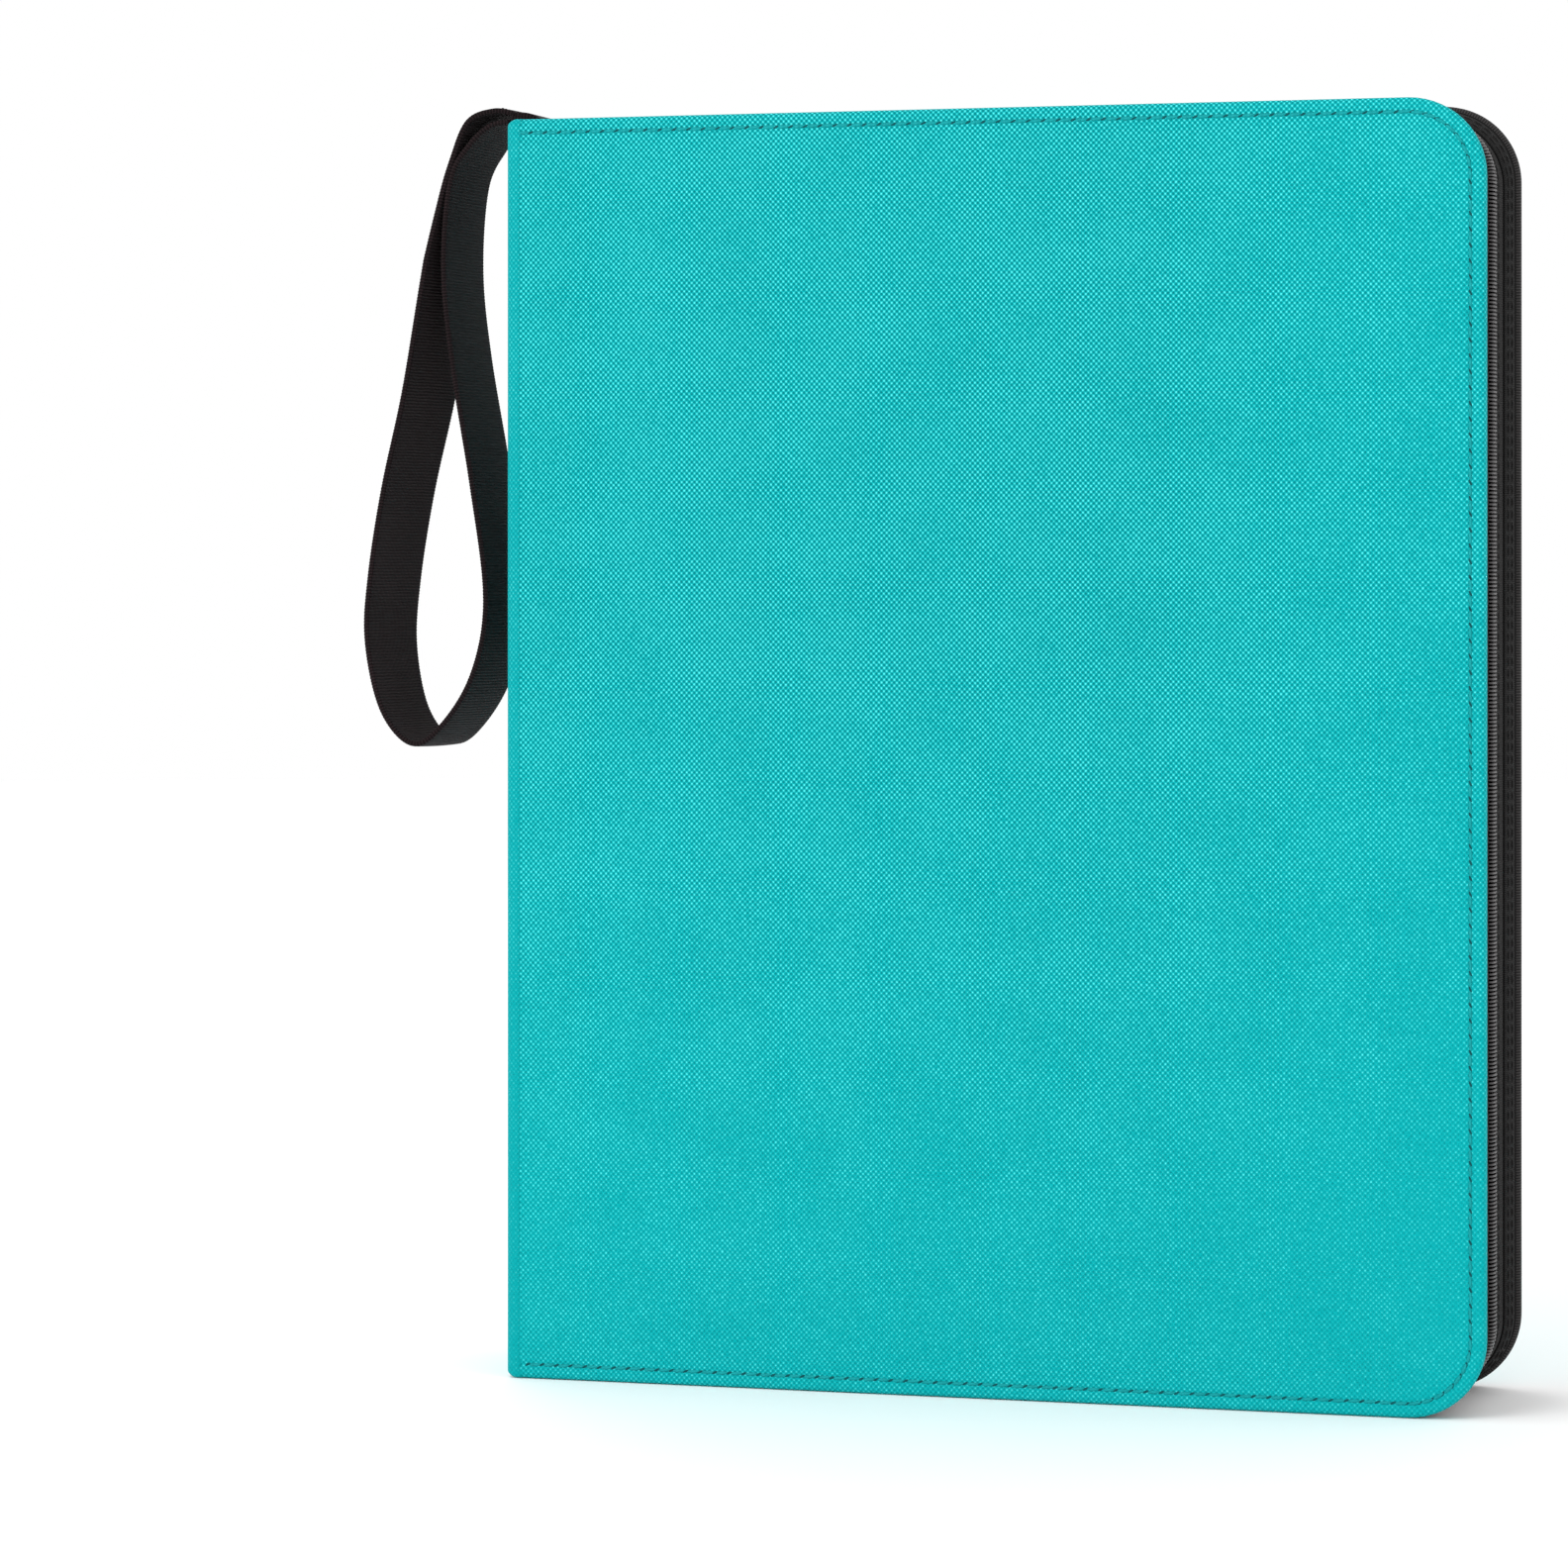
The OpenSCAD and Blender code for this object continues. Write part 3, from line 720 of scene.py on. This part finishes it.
def fold_lining(side, s, step=0.9 * MM, gap=0.25 * MM):
    """A soft black strip over the crease inside a fold."""
    inner = face_y(s) - s * COVER_T
    x_in = SPINE_X + COVER_T
    line = [(x_in + 10 * step - i * step, inner - s * gap) for i in range(10)]
    line += [(x_in + gap, inner - s * (gap + i * step)) for i in range(10)]
    zs = np.linspace(2.5 * MM, TOP - 2.5 * MM, 30)
    grid = [(x, y, z) for x, y in line for z in zs]
    uvs = [(z, i * step) for i in range(len(line)) for z in zs]
    obj = mesh_object(f"{side}_fold_lining", grid, grid_faces(len(line), len(zs), flip=s > 0), uvs)
    thicken(obj, 0.3 * MM)
    dress(obj, M["lining"])
    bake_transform(obj)


for side, s in SIDES.items():
    fold_lining(side, s)


# ---- Zip walls ----
# The walls' profiles and seams: (depth inside the outline, distance from the zip's middle), in mm. A
# band's number says how many of its first faces are its binding.
BANDS = {
    "front": ([(2.3, 26.3), (1.5, 26.6), (0.85, 26.5), (0.62, 25.8), (0.66, 24.0), (0.85, 21.5),
               (1.1, 19.0), (1.5, 16.8), (1.8, 15.4), (2.0, 14.95), (2.25, 14.9), (2.5, 15.4),
               (2.4, 19.0), (2.0, 23.0)], 4),
    "back": ([(5.2, 30.25), (4.6, 30.42), (2.5, 30.45), (1.3, 30.4), (0.3, 30.0), (-0.3, 29.2),
              (-0.6, 28.0), (-0.6, 26.4), (-0.35, 25.2), (0.3, 24.4), (0.8, 23.9), (0.55, 23.2),
              (0.7, 20.5), (1.3, 17.6), (1.8, 15.4), (2.0, 14.95), (2.25, 14.9), (2.5, 15.6), (2.3, 19.0),
              (1.8, 23.0), (1.1, 26.2), (1.0, 29.7), (2.2, 30.1), (5.0, 30.1)], 9),
}
TAPE = [(2.35, 16.6), (2.3, 15.6), (2.35, 13.0), (2.6, 10.0), (2.95, 7.0), (3.25, 4.6), (3.35, 3.9),
        (3.6, 3.7), (3.85, 3.9), (3.7, 4.8), (3.4, 7.0), (3.05, 10.0), (2.8, 13.0), (2.75, 16.6)]
WALL_SEAMS = {"front": [(1.36, 17.6), (0.96, 20.4)], "back": [(1.26, 17.6), (0.68, 20.4)]}


def side_wall(side, s):
    """Ribbed band and finer zip tape of one half, sloping in from the cover's edge to the coil."""
    path = outline(WALL_X, step=3 * MM, arc_steps=24)
    cover = f"{side}_cover"

    def swept(name, profile):
        return sweep(name, path, [(d * MM, wall_y(s, y * MM)) for d, y in profile])

    def seam(name, depth, y, pitch, radius):
        stitch_row(name, path, depth * MM, wall_y(s, y * MM), 0, pitch * MM, radius * MM, cover,
                   M["black_thread"], 1 * MM)

    band, bound = BANDS[side]
    obj = swept(f"{side}_wall_band", band)
    for i in range(len(path[0]) - 1):
        for j in range(bound):
            obj.data.polygons[i * len(band) + j].material_index = 1
    dress(obj, M["band"], cover, [f"{side}_band"], M["binding"])
    dress(swept(f"{side}_zip_tape", TAPE), M["tape"], cover, [f"{side}_tape"])
    for k, (depth, y) in enumerate(WALL_SEAMS[side]):
        seam(f"{side}_wall_stitches_{k + 1}", depth, y, 3.2, 0.26)
    seam(f"{side}_tape_stitches", 2.62, 9.6, 2.6, 0.2)


for side, s in SIDES.items():
    side_wall(side, s)


def ramp01(value, start, end):
    """0 before start, 1 after end and even between them."""
    return max(0.0, min(1.0, (value - start) / (end - start)))


def smooth01(t):
    return t * t * (3 - 2 * t)


def lift_back_corner(names, rise=1.6 * MM):
    """The back's free top corner stands a little proud of the front's, as in the photo."""
    for name in names:
        for v in bpy.data.objects[name].data.vertices:
            up = ramp01(v.co.z, TOP - 70 * MM, TOP - 10 * MM)
            out = ramp01(v.co.x, -20 * MM, 90 * MM)
            back = ramp01(v.co.y, MID_Y + 15 * MM, MID_Y + 27 * MM)
            v.co.z += rise * back * smooth01(up) * smooth01(out)


lift_back_corner(["back_cover_cloth", "back_binding_stitches", "back_wall_band", "back_wall_stitches_1",
                  "back_wall_stitches_2"])


def tooth(parts, at, across, along, out, width, head):
    """One turn of the coil: a fat rounded bar with a swollen head at the middle of the zip. Without
    its head it is the turn's other leg, which goes back under the next tooth. shape holds how far
    across the tape, how far out and how fat each ring is."""
    shape = [(3.75, 0.15, 0.3), (3.5, 0.55, 0.52), (2.9, 0.85, 0.58), (2.0, 1.05, 0.6), (1.0, 1.2, 0.6),
             (0.2, 1.28, 0.66), (-0.5, 1.2, 0.74), (-0.95, 0.95, 0.66), (-1.15, 0.6, 0.35)]
    if not head:
        shape = shape[:5] + [(0.7, 0.9, 0.4)]
    sides = 8
    grid, uvs = [], []
    for q, height, fat in shape:
        centre = at + across * q * MM + out * (height - 0.45) * MM
        for a in turns(sides):
            grid.append(centre + along * math.cos(a) * width * fat + out * math.sin(a) * fat * 0.7 * MM)
            uvs.append((q * MM, a * 0.3 * MM))
    parts.add(grid, tube_faces(len(shape), sides), uvs)


def coil(side, s, pitch=2.0 * MM, depth=2.95 * MM, width=0.54 * MM):
    """A coil along one tape edge. The other half's teeth sit half a pitch further on."""
    start = low(f"{side}_coil").x
    parts = Parts()
    places = zip(*evenly(outline(WALL_X, step=2 * MM, arc_steps=32), pitch / 2))
    for i, ((x, z), (nx, nz)) in enumerate(places):
        if x < start and s < 0:
            continue
        at = np.array([x - depth * nx, MID_Y, z - depth * nz])
        tooth(parts, at, s * Y_AXIS, np.array([nz, 0.0, -nx]), np.array([nx, 0.0, nz]), width,
              head=i % 2 == (0 if s > 0 else 1))
    dress(parts.make(f"{side}_zip_coil"), M["coil"], f"{side}_cover", [f"{side}_coil"])


for side, s in SIDES.items():
    coil(side, s)


# ---- Strap ----
# The strap's middle line from the spine's top edge, as (x, z) in mm: out, down, round and back up.
LOOP = [(-3, 5), (-9, 6), (-16, 3), (-22, -9), (-26, -24), (-30, -44), (-35, -72), (-41, -98),
        (-45, -122), (-46, -140), (-41, -158), (-33, -167), (-25, -163), (-16, -149), (-12, -128),
        (-16, -96), (-21, -62), (-23, -38), (-20, -14), (-15, -3), (-10, 2), (-5, 3)]
# The sewn double end of the webbing, in the same terms.
ROOT = [(5.4, -12), (5.4, -7), (5.3, -4.0), (4.7, -1.5), (3.2, 0.4), (1.2, 1.5), (-1.0, 2.0), (-4.4, 2.1)]


def smooth_line(points, steps):
    """A smooth curve through points in the X and Z plane."""
    p = [np.array(q, float) for q in points]
    out = []
    for i in range(len(p) - 1):
        a, b, c, d = p[max(i - 1, 0)], p[i], p[i + 1], p[min(i + 2, len(p) - 1)]
        for k in range(steps):
            t = k / steps
            out.append(0.5 * (2 * b + t * (c - a) + t * t * (2 * a - 5 * b + 4 * c - d)
                              + t ** 3 * (3 * b - a - 3 * c + d)))
    out.append(p[-1])
    return np.array(out)


def webbing(name, line, width, thick, cup=0.0, lean=None):
    """Woven strap along a line of (x, z), with scalloped selvedges. UVs are metres along and across.
    cup is how far its middle stands out, and lean(share of the length) how far it turns over."""
    run = distances(line)
    places = np.arange(0, run[-1], 0.425 * MM)
    line = np.column_stack([np.interp(places, run, line[:, 0]), np.interp(places, run, line[:, 1])])
    tangent = np.gradient(line, axis=0)
    tangent /= np.linalg.norm(tangent, axis=1)[:, None]
    along = distances(line)
    half, t = width / 2, thick / 2
    flat = [(-half + 0.5 * MM + (width - 1.0 * MM) * k / 10, t) for k in range(11)]
    edge = [(half - 0.2 * MM, t * 0.95), (half, t * 0.45), (half, -t * 0.45), (half - 0.2 * MM, -t * 0.95)]
    section = flat + edge
    section += [(-y, -h) for y, h in section]
    around = distances(section)
    grid, uvs = [], []
    for i, ((x, z), (tx, tz), s) in enumerate(zip(line, tangent, along)):
        k = lean(s / along[-1]) if lean else 0.0
        for (y, h), a in zip(section, around):
            if abs(y) > half - 0.3 * MM:
                y *= 1 - 0.26 * MM * (i % 2) / half
            off = h + cup * (1 - (2 * y / width) ** 2)
            grid.append((x + off * tz + k * y, MID_Y + y * math.cos(k), z - off * tx))
            uvs.append((s, a))
    return mesh_object(name, grid, tube_faces(len(line), len(section)), uvs)


def settle(k, x, z):
    """A point of LOOP as the photo has it: the lower part nearer the spine, the upper bend further out."""
    hang = ramp01(-z, -3, 9) if k < 12 else max(0.2, ramp01(-z, 40, 90))
    bend = math.exp(-((z + 10) / 12) ** 2)
    x += (2.6 if k < 10 else 1.5) * hang - 1.4 * bend
    return x, z - 2.1 * ramp01(z, -25, -3)


def strap_line(points, steps):
    return smooth_line([(SPINE_X / MM + x, TOP / MM + z) for x, z in points], steps) * MM


def strap():
    def lean(t):
        return float(np.interp(t, (0, 0.06, 0.14, 0.4, 0.48, 0.58, 0.75, 0.95, 1),
                               (0, 0.07, 0.25, 0.22, 0.16, 0.1, 0.11, 0.08, 0)))

    line = strap_line([settle(k, x, z) for k, (x, z) in enumerate(LOOP)], 8)
    loop = webbing("strap_webbing", line, STRAP_W, 1.4 * MM, cup=0.25 * MM, lean=lean)
    dress(loop, M["webbing"], "strap", ["strap_loop"])
    two_ply = webbing("strap_root", strap_line(ROOT, 5), STRAP_W, 2.7 * MM)
    dress(two_ply, M["webbing"], replaces=["strap_anchor"])
    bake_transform(two_ply)
    rows = Parts()
    for x, z in ((-3.4, 3.45), (-7.0, 4.5)):
        n = int(STRAP_W / (2.4 * MM))
        for k in range(n):
            y = MID_Y - STRAP_W / 2 + STRAP_W * (k + 0.5) / n
            stitch(rows, np.array([SPINE_X + x * MM, y, TOP + z * MM]), Y_AXIS,
                   np.array([0.12, 0.0, 0.99]), 1.9 * MM, 0.26 * MM)
    dress(rows.make("strap_stitches"), M["black_thread"], "strap")


strap()


# ---- End caps ----
def end_cap(name, node, sign, crown=0.9 * MM):
    """A crowned cloth cap over the spine's end, sunk to a seam round its rim and creased in the middle."""
    a, b = low(node), high(node)
    nx, ny = 13, 41
    top = b.z if sign > 0 else a.z
    slot_x, slot_y = a.x + 3.4 * MM, STRAP_W / 2 + 0.4 * MM
    outer, inner, flat = [], [], []
    for i in range(nx):
        for j in range(ny):
            u, v = i / (nx - 1), j / (ny - 1)
            x, y = a.x + (b.x - a.x) * u, a.y + (b.y - a.y) * v
            if sign > 0 and abs(y - MID_Y) < slot_y:
                x = max(x, slot_x + (x - a.x) * 0.2)
            rim = min(1, 9 * min(u, 1 - u), 30 * min(v, 1 - v))
            puff = crown * math.sin(math.pi * u) ** 0.6 - 0.5 * MM * (1 - rim)
            crease = 0.35 * MM * math.exp(-((y - MID_Y) / (1.6 * MM)) ** 2)
            outer.append((x, y, top + sign * (puff - crease)))
            inner.append((x, y, top - sign * (b.z - a.z)))
            flat.append((y, x))
    n = nx * ny
    faces = grid_faces(nx, ny, flip=sign < 0) + grid_faces(nx, ny, start=n, flip=sign > 0)
    rim = [i * ny for i in range(nx)] + [(nx - 1) * ny + j for j in range(1, ny)]
    rim += [i * ny + ny - 1 for i in range(nx - 2, -1, -1)] + list(range(ny - 2, 0, -1))
    faces += [[p, q, q + n, p + n] for p, q in zip(rim, rim[1:] + rim[:1])]
    dress(mesh_object(name, outer + inner, faces, flat + flat), M["band"], "spine", [node])
    rows = Parts()
    for y_side in (-1, 1):
        for off in (2.2, 4.4):
            for k in range(3):
                x = b.x - (1.7 + 2.6 * k) * MM
                y = MID_Y + y_side * ((b.y - a.y) / 2 - off * MM)
                z = top + sign * crown * math.sin(math.pi * (x - a.x) / (b.x - a.x)) ** 0.6
                stitch(rows, np.array([x, y, z]), X_AXIS, sign * Z_AXIS, 2.0 * MM, 0.22 * MM)
    dress(rows.make(name + "_stitches"), M["black_thread"], "spine")


end_cap("top_gusset", "cap_top", 1)
end_cap("bottom_gusset", "cap_bottom", -1)


# The gussets' outer line over the zip wall: (distance from the zip's middle, depth inside the edge), in mm.
WALL_DEPTHS = [(5.9, 2.7), (10.0, 2.2), (15.0, 1.6), (16.8, 1.15), (19.0, 0.85), (21.5, 0.6), (25.6, 0.5),
               (26.4, 1.0), (27.3, 1.6)]


def wall_depth(reach):
    return float(np.interp(reach, *np.transpose(WALL_DEPTHS)))


def edge_z(sign):
    """z of the covers' top or bottom edge."""
    return TOP if sign > 0 else 0.0


def soft_strip(name, s, sign, shape, xs, reaches, depth, hold):
    """Thin cloth from the spine at xs[0] to the cover at xs[1]. It runs from reaches[0] to
    reaches[1] mm from the zip's middle, and lies depth(share of the way, reach) mm inside the edge.
    shape holds the number of points each way. hold (mm inside xs at the spine and at the cover, and a
    reach) is not used."""
    nx, ny = shape
    grid, uvs = [], []
    for t in np.linspace(0, 1, nx):
        x = xs[0] + (xs[1] - xs[0]) * t
        for reach in np.linspace(*reaches, ny):
            grid.append((x, wall_y(s, reach * MM), edge_z(sign) - sign * depth(t, reach) * MM))
            uvs.append((reach * MM, x))
    obj = mesh_object(name, grid, grid_faces(nx, ny), uvs)
    thicken(obj, 0.35 * MM)
    dress(obj, M["band"])
    at_spine, at_cover, reach = (h * MM for h in hold)
    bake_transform(obj)


def gusset(side, s, end, sign):
    """Soft cloth from the end cap to one half of the zip wall."""
    xs = (high(f"cap_{end}").x - 4.5 * MM, WALL_X + 4.5 * MM)
    name = f"{side}_{end}_gusset"

    def depth(t, reach):
        on_cap = 0.35 + 0.8 * max(0.0, reach - 25.6)
        return on_cap + (wall_depth(reach) - on_cap) * smooth01(t) + 0.15 * math.sin(3 * math.pi * t)

    soft_strip(name, s, sign, (16, 26), xs, (5.9, 27.3), depth, (1.5, 0.8, 16))
    rows = Parts()
    for reach in [7.4 + 2.1 * j for j in range(9)]:
        z = edge_z(sign) - sign * (wall_depth(reach) - 0.22) * MM
        stitch(rows, np.array([xs[1] - 0.7 * MM, wall_y(s, reach * MM), z]), Y_AXIS, sign * Z_AXIS,
               1.7 * MM, 0.2 * MM)
    dress(rows.make(name + "_stitches"), M["black_thread"], f"{side}_cover")


def fold_web(side, s, end, sign):
    """Cloth under the end cap, over the inside corner of a fold."""
    xs = (SPINE_X + 4.2 * MM, WALL_X + 4.0 * MM)
    soft_strip(f"{side}_{end}_fold_web", s, sign, (20, 8), xs, (16.5, 28.8),
               lambda t, reach: 1.7, (0.8, 0.5, 24))


for side, s in SIDES.items():
    for end, sign in (("top", 1), ("bottom", -1)):
        gusset(side, s, end, sign)
        fold_web(side, s, end, sign)


# ---- Slider and pull ----
def extruded(name, line, a, b, axis, rim):
    """A plate from an outline, with rounded edges. axis names the way it is thick."""
    def put(p, q, h):
        return {"y": (p, h, q), "z": (p, q, h)}[axis]
    points = [put(p, q, a) for p, q in line] + [put(p, q, b) for p, q in line]
    obj = mesh_object(name, points, tube_faces(2, len(line)), smooth=False)
    add_bevel(obj, rim, 3)
    apply_modifiers(obj)
    obj.data.shade_smooth()
    return obj


def join(name, objects):
    """One mesh from several."""
    points, faces = [], []
    for o in objects:
        start = len(points)
        points += [tuple(v.co) for v in o.data.vertices]
        faces += [[start + i for i in f.vertices] for f in o.data.polygons]
        bpy.data.objects.remove(o)
    return mesh_object(name, points, faces)


def tube(line, radius, sides):
    """Points, faces and UVs of a round tube along a line of 3-D points."""
    line = np.array(line, float)
    tangent = np.gradient(line, axis=0)
    tangent /= np.linalg.norm(tangent, axis=1)[:, None]
    normal = np.cross(tangent[0], [0.3, 0.9, 0.2])
    grid, uvs = [], []
    for p, t, run in zip(line, tangent, distances(line)):
        normal = normal - t * np.dot(normal, t)
        normal /= np.linalg.norm(normal)
        side = np.cross(t, normal)
        for a in turns(sides):
            grid.append(p + radius * (math.cos(a) * normal + math.sin(a) * side))
            uvs.append((run, radius * a))
    return grid, tube_faces(len(line), sides), uvs


# Half a plate's outline as shares of the slider's half length and width, and an ear's as (x, z) in mm.
PLATE = [(-1.0, 0.52), (-0.86, 0.72), (-0.5, 0.92), (-0.1, 1.0), (0.45, 1.0), (0.85, 0.94), (1.0, 0.8)]
EAR = [(-3.2, -0.4), (-3.0, 0.9), (-1.7, 1.95), (1.7, 1.95), (3.0, 0.9), (3.2, -0.4)]


def slider():
    """Two plates joined by a wedge, with lips over the tapes and two ears that hold the pull."""
    a, b = low("slider_body"), high("slider_body")
    mid = (a.x + b.x) / 2
    long, wide = (b.x - a.x) / 2, (b.y - a.y) / 2
    half = [(mid + x * long, MID_Y - y * wide) for x, y in PLATE]
    whole = half + [(x, 2 * MID_Y - y) for x, y in half[::-1]]
    pieces = [extruded("plate", whole, TOP - z0 * MM, TOP - z1 * MM, "z", 0.32 * MM)
              for z0, z1 in ((1.4, 0.4), (5.4, 4.4))]
    ear = [(mid + x * MM, TOP + z * MM) for x, z in EAR]
    lip = [(mid + x * long * 0.9, TOP + z * MM) for x, z in ((-1, -1.3), (-1, -1.9), (1, -1.9), (1, -1.3))]
    for side in (-1, 1):
        for line, y0, y1, rim in ((ear, 3.9, 5.1, 0.25), (lip, 4.9, 5.5, 0.15)):
            ys = sorted(MID_Y + side * y * MM for y in (y0, y1))
            pieces.append(extruded("edge", line, *ys, "y", rim * MM))
    x0, x1, y0, y1 = mid - long * 0.85, mid + long * 0.7, MID_Y - 0.3 * MM, MID_Y + 0.3 * MM
    pieces.append(extruded("wedge", [(x0, y0), (x1, y0), (x1, y1), (x0, y1)], TOP - 4.8 * MM,
                           TOP - 0.9 * MM, "z", 0.12 * MM))
    dress(join("zip_slider", pieces), M["slider"], "slider", ["slider_body"])


slider()


def pull():
    """A cord loop round the slider's pin, and a ribbed grip moulded over its ends."""
    a, b = low("pull_grip"), high("pull_grip")
    mid = (low("slider_body").x + high("slider_body").x) / 2
    z = (a.z + b.z) / 2
    line = [(mid + 1.6 * MM * (1 - math.sin(t)), MID_Y - 2.4 * MM * math.cos(t), z)
            for t in np.linspace(0, math.pi, 13)]
    reach = a.x + 1.6 * MM
    line = [(reach, MID_Y - 1.9 * MM, z)] + line + [(reach, MID_Y + 1.9 * MM, z)]
    cord = mesh_object("pull_cord", *tube(line, 0.95 * MM, 12))
    dress(cord, M["cord"], "pull", ["pull_loop"])
    long, wide, thick = b.x - a.x, (b.y - a.y) / 2, (b.z - a.z) / 2
    rows, sides, ribs = 60, 28, 8
    grid, uvs = [], []
    for i in range(rows + 1):
        t = i / rows
        end = min(t, 1 - t) * long
        round_end = math.sqrt(max(0.0, 1 - (1 - min(1, end / (wide * 0.82))) ** 2.4))
        w = wide * min(1.0, round_end + 0.04)
        wave = 0.5 - 0.5 * math.cos(2 * math.pi * (t - 0.14) / 0.72 * ribs)
        rib = 0.32 * MM * wave if 0.14 < t < 0.86 else 0.0
        h = thick * (0.62 + 0.38 * min(1, end / (3.0 * MM))) - rib
        for turn in turns(sides):
            c, d = math.cos(turn), math.sin(turn)
            grid.append((a.x + long * t, MID_Y + math.copysign(abs(c) ** 0.45, c) * w,
                         z + math.copysign(abs(d) ** 0.45, d) * h))
            uvs.append((t * long, turn * 2 * MM))
    grip = mesh_object("pull_grip_rubber", grid, tube_faces(rows + 1, sides), uvs)
    dress(grip, M["rubber"], "pull", ["pull_grip"])


pull()


# ---- Ring mechanism ----
def finish_node(name, material, rim=0.0):
    """Gives a CAD node its material and rounded edges."""
    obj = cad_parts[name]
    for slot_place in obj.material_slots:
        slot_place.material = material
    if not obj.material_slots:
        obj.data.materials.append(material)
    if rim:
        add_bevel(obj, rim, angle=40)


finish_node("ring_base", M["base"], 0.5 * MM)
finish_node("ring_rivets", M["plate"], 0.4 * MM)
for side in SIDES:
    finish_node(f"ring_half_{side}", M["ring"])
    finish_node(f"plate_{side}", M["plate"], 0.2 * MM)
    finish_node(f"{side}_board", M["board"])
    finish_node(f"{side}_lining", M["lining"])


# ---- Pages ----
def rounded_card(w, h, r, steps=6):
    """Outline points of a rounded card from its lower left corner."""
    points = []
    for cx, cz, a0 in ((w - r, h - r, 0), (r, h - r, 90), (r, r, 180), (w - r, r, 270)):
        for i in range(steps + 1):
            a = math.radians(a0 + 90 * i / steps)
            points.append((cx + r * math.cos(a), cz + r * math.sin(a)))
    return points


def page_cards(page, s, index, body):
    """Nine cards on each side of a page, each lying a little differently in its pocket."""
    a, b = low(f"cards_{page}"), high(f"cards_{page}")
    line = rounded_card(CARD_W, CARD_H, 3 * MM)
    rng = random.Random(100 + index * 17 + (1 if s > 0 else 0))
    parts, seeds = Parts(), []
    for face, y_out in ((-1, a.y), (1, b.y)):
        y_in = y_out - face * 0.32 * MM
        for i in range(3):
            for j in range(3):
                dx, dz = rng.uniform(-0.3, 0.3) * MM, rng.uniform(-0.3, 0.3) * MM
                x0, z0 = a.x + i * POCKET_W + dx, a.z + j * POCKET_H + dz
                shares = [(x / CARD_W, z / CARD_H) for x, z in line]
                parts.add([(x0 + x, y, z0 + z) for y in (y_out, y_in) for x, z in line],
                          tube_faces(2, len(line)),
                          [(u if face < 0 else 1 - u, v) for u, v in shares] + [(0.01, 0.01)] * len(line))
                seeds += [rng.uniform(0.02, 0.98)] * (2 * len(line))
    obj = mesh_object(f"{page}_printed_cards", parts.points, parts.faces, parts.uvs, smooth=False)
    attribute = obj.data.attributes.new("card_seed", "FLOAT", "POINT")
    attribute.data.foreach_set("value", np.array(seeds, np.float32))
    dress(obj, M["print"], body, [f"cards_{page}"])


def page_film(page, body):
    """Clear film on both faces, drawn down to its weld lines and lifted over each card."""
    a, b = low(f"film_{page}"), high(f"film_{page}")
    backing = (low(f"sheet_{page}").y, high(f"sheet_{page}").y)
    edge = (b.z - a.z - 3 * POCKET_H) / 2
    last_x, last_z = 3 * POCKET_W, edge + 3 * POCKET_H
    over_x, over_z = (0, 0.012, 0.03, 0.06, 0.5, 0.94, 0.97, 0.988), (0, 0.01, 0.03, 0.06, 0.5, 0.94, 0.99)
    xs = [i * POCKET_W + q * POCKET_W for i in range(3) for q in over_x]
    zs = [edge + j * POCKET_H + q * POCKET_H for j in range(3) for q in over_z]
    xs = xs + [last_x]
    zs = [0.0, edge * 0.5] + zs + [last_z, b.z - a.z]
    parts = Parts()
    for face, y_far, y_backing in ((-1, a.y, backing[0]), (1, b.y, backing[1])):
        y_near = y_backing + face * 0.06 * MM
        grid = []
        flat = [(x, z - edge) for x in xs for z in zs]
        for x in xs:
            q = (x / POCKET_W) % 1 if x < last_x - 1e-6 else 0
            up_x = min(1, min(q, 1 - q) / 0.03)
            for z in zs:
                t = ((z - edge) / POCKET_H) % 1 if edge < z < last_z - 1e-6 else 0
                lift = (up_x * min(1, t / 0.03)) ** 0.7
                grid.append((a.x + x, y_near + (y_far - y_near) * lift, a.z + z))
        parts.add(grid, grid_faces(len(xs), len(zs), flip=face > 0), flat)
    dress(parts.make(f"{page}_pocket_film"), M["film"], body, [f"film_{page}"])


def weld_dots(page, body, pitch=2.1 * MM, sides=6):
    """Rows of small welded dots round every pocket, on both faces of the backing."""
    a, b = low(f"film_{page}"), high(f"film_{page}")
    edge = (b.z - a.z - 3 * POCKET_H) / 2
    parts = Parts()
    short, long = 0.42 * MM, 0.62 * MM

    def dot(x, z, y, face, rx, rz):
        ring = [(x + rx * math.cos(t), y, z + rz * math.sin(t)) for t in turns(sides)]
        tri = [[k, (k + 1) % sides, sides] for k in range(sides)]
        parts.add(ring + [(x, y + face * 0.12 * MM, z)], [t[::-1] for t in tri] if face > 0 else tri)

    for face, y in ((-1, low(f"sheet_{page}").y), (1, high(f"sheet_{page}").y)):
        y += face * 0.09 * MM
        for i in range(4):
            x = a.x + i * POCKET_W + (0.9 * MM if i == 0 else -0.9 * MM if i == 3 else 0)
            for k in range(int((b.z - a.z) / pitch)):
                dot(x, a.z + (k + 0.5) * pitch, y, face, short, long)
        for j in range(3):
            for k in range(int(3 * POCKET_W / pitch)):
                dot(a.x + (k + 0.5) * pitch, a.z + edge + j * POCKET_H, y, face, long, short)
    dress(parts.make(f"{page}_weld_dots"), M["weld"], body)


for side, s in SIDES.items():
    for i in range(1, 5):
        page = f"{side[0]}{i}"
        body = f"page_{page}"
        finish_node(f"sheet_{page}", M["page"])
        page_cards(page, s, i, body)
        page_film(page, body)
        weld_dots(page, body)
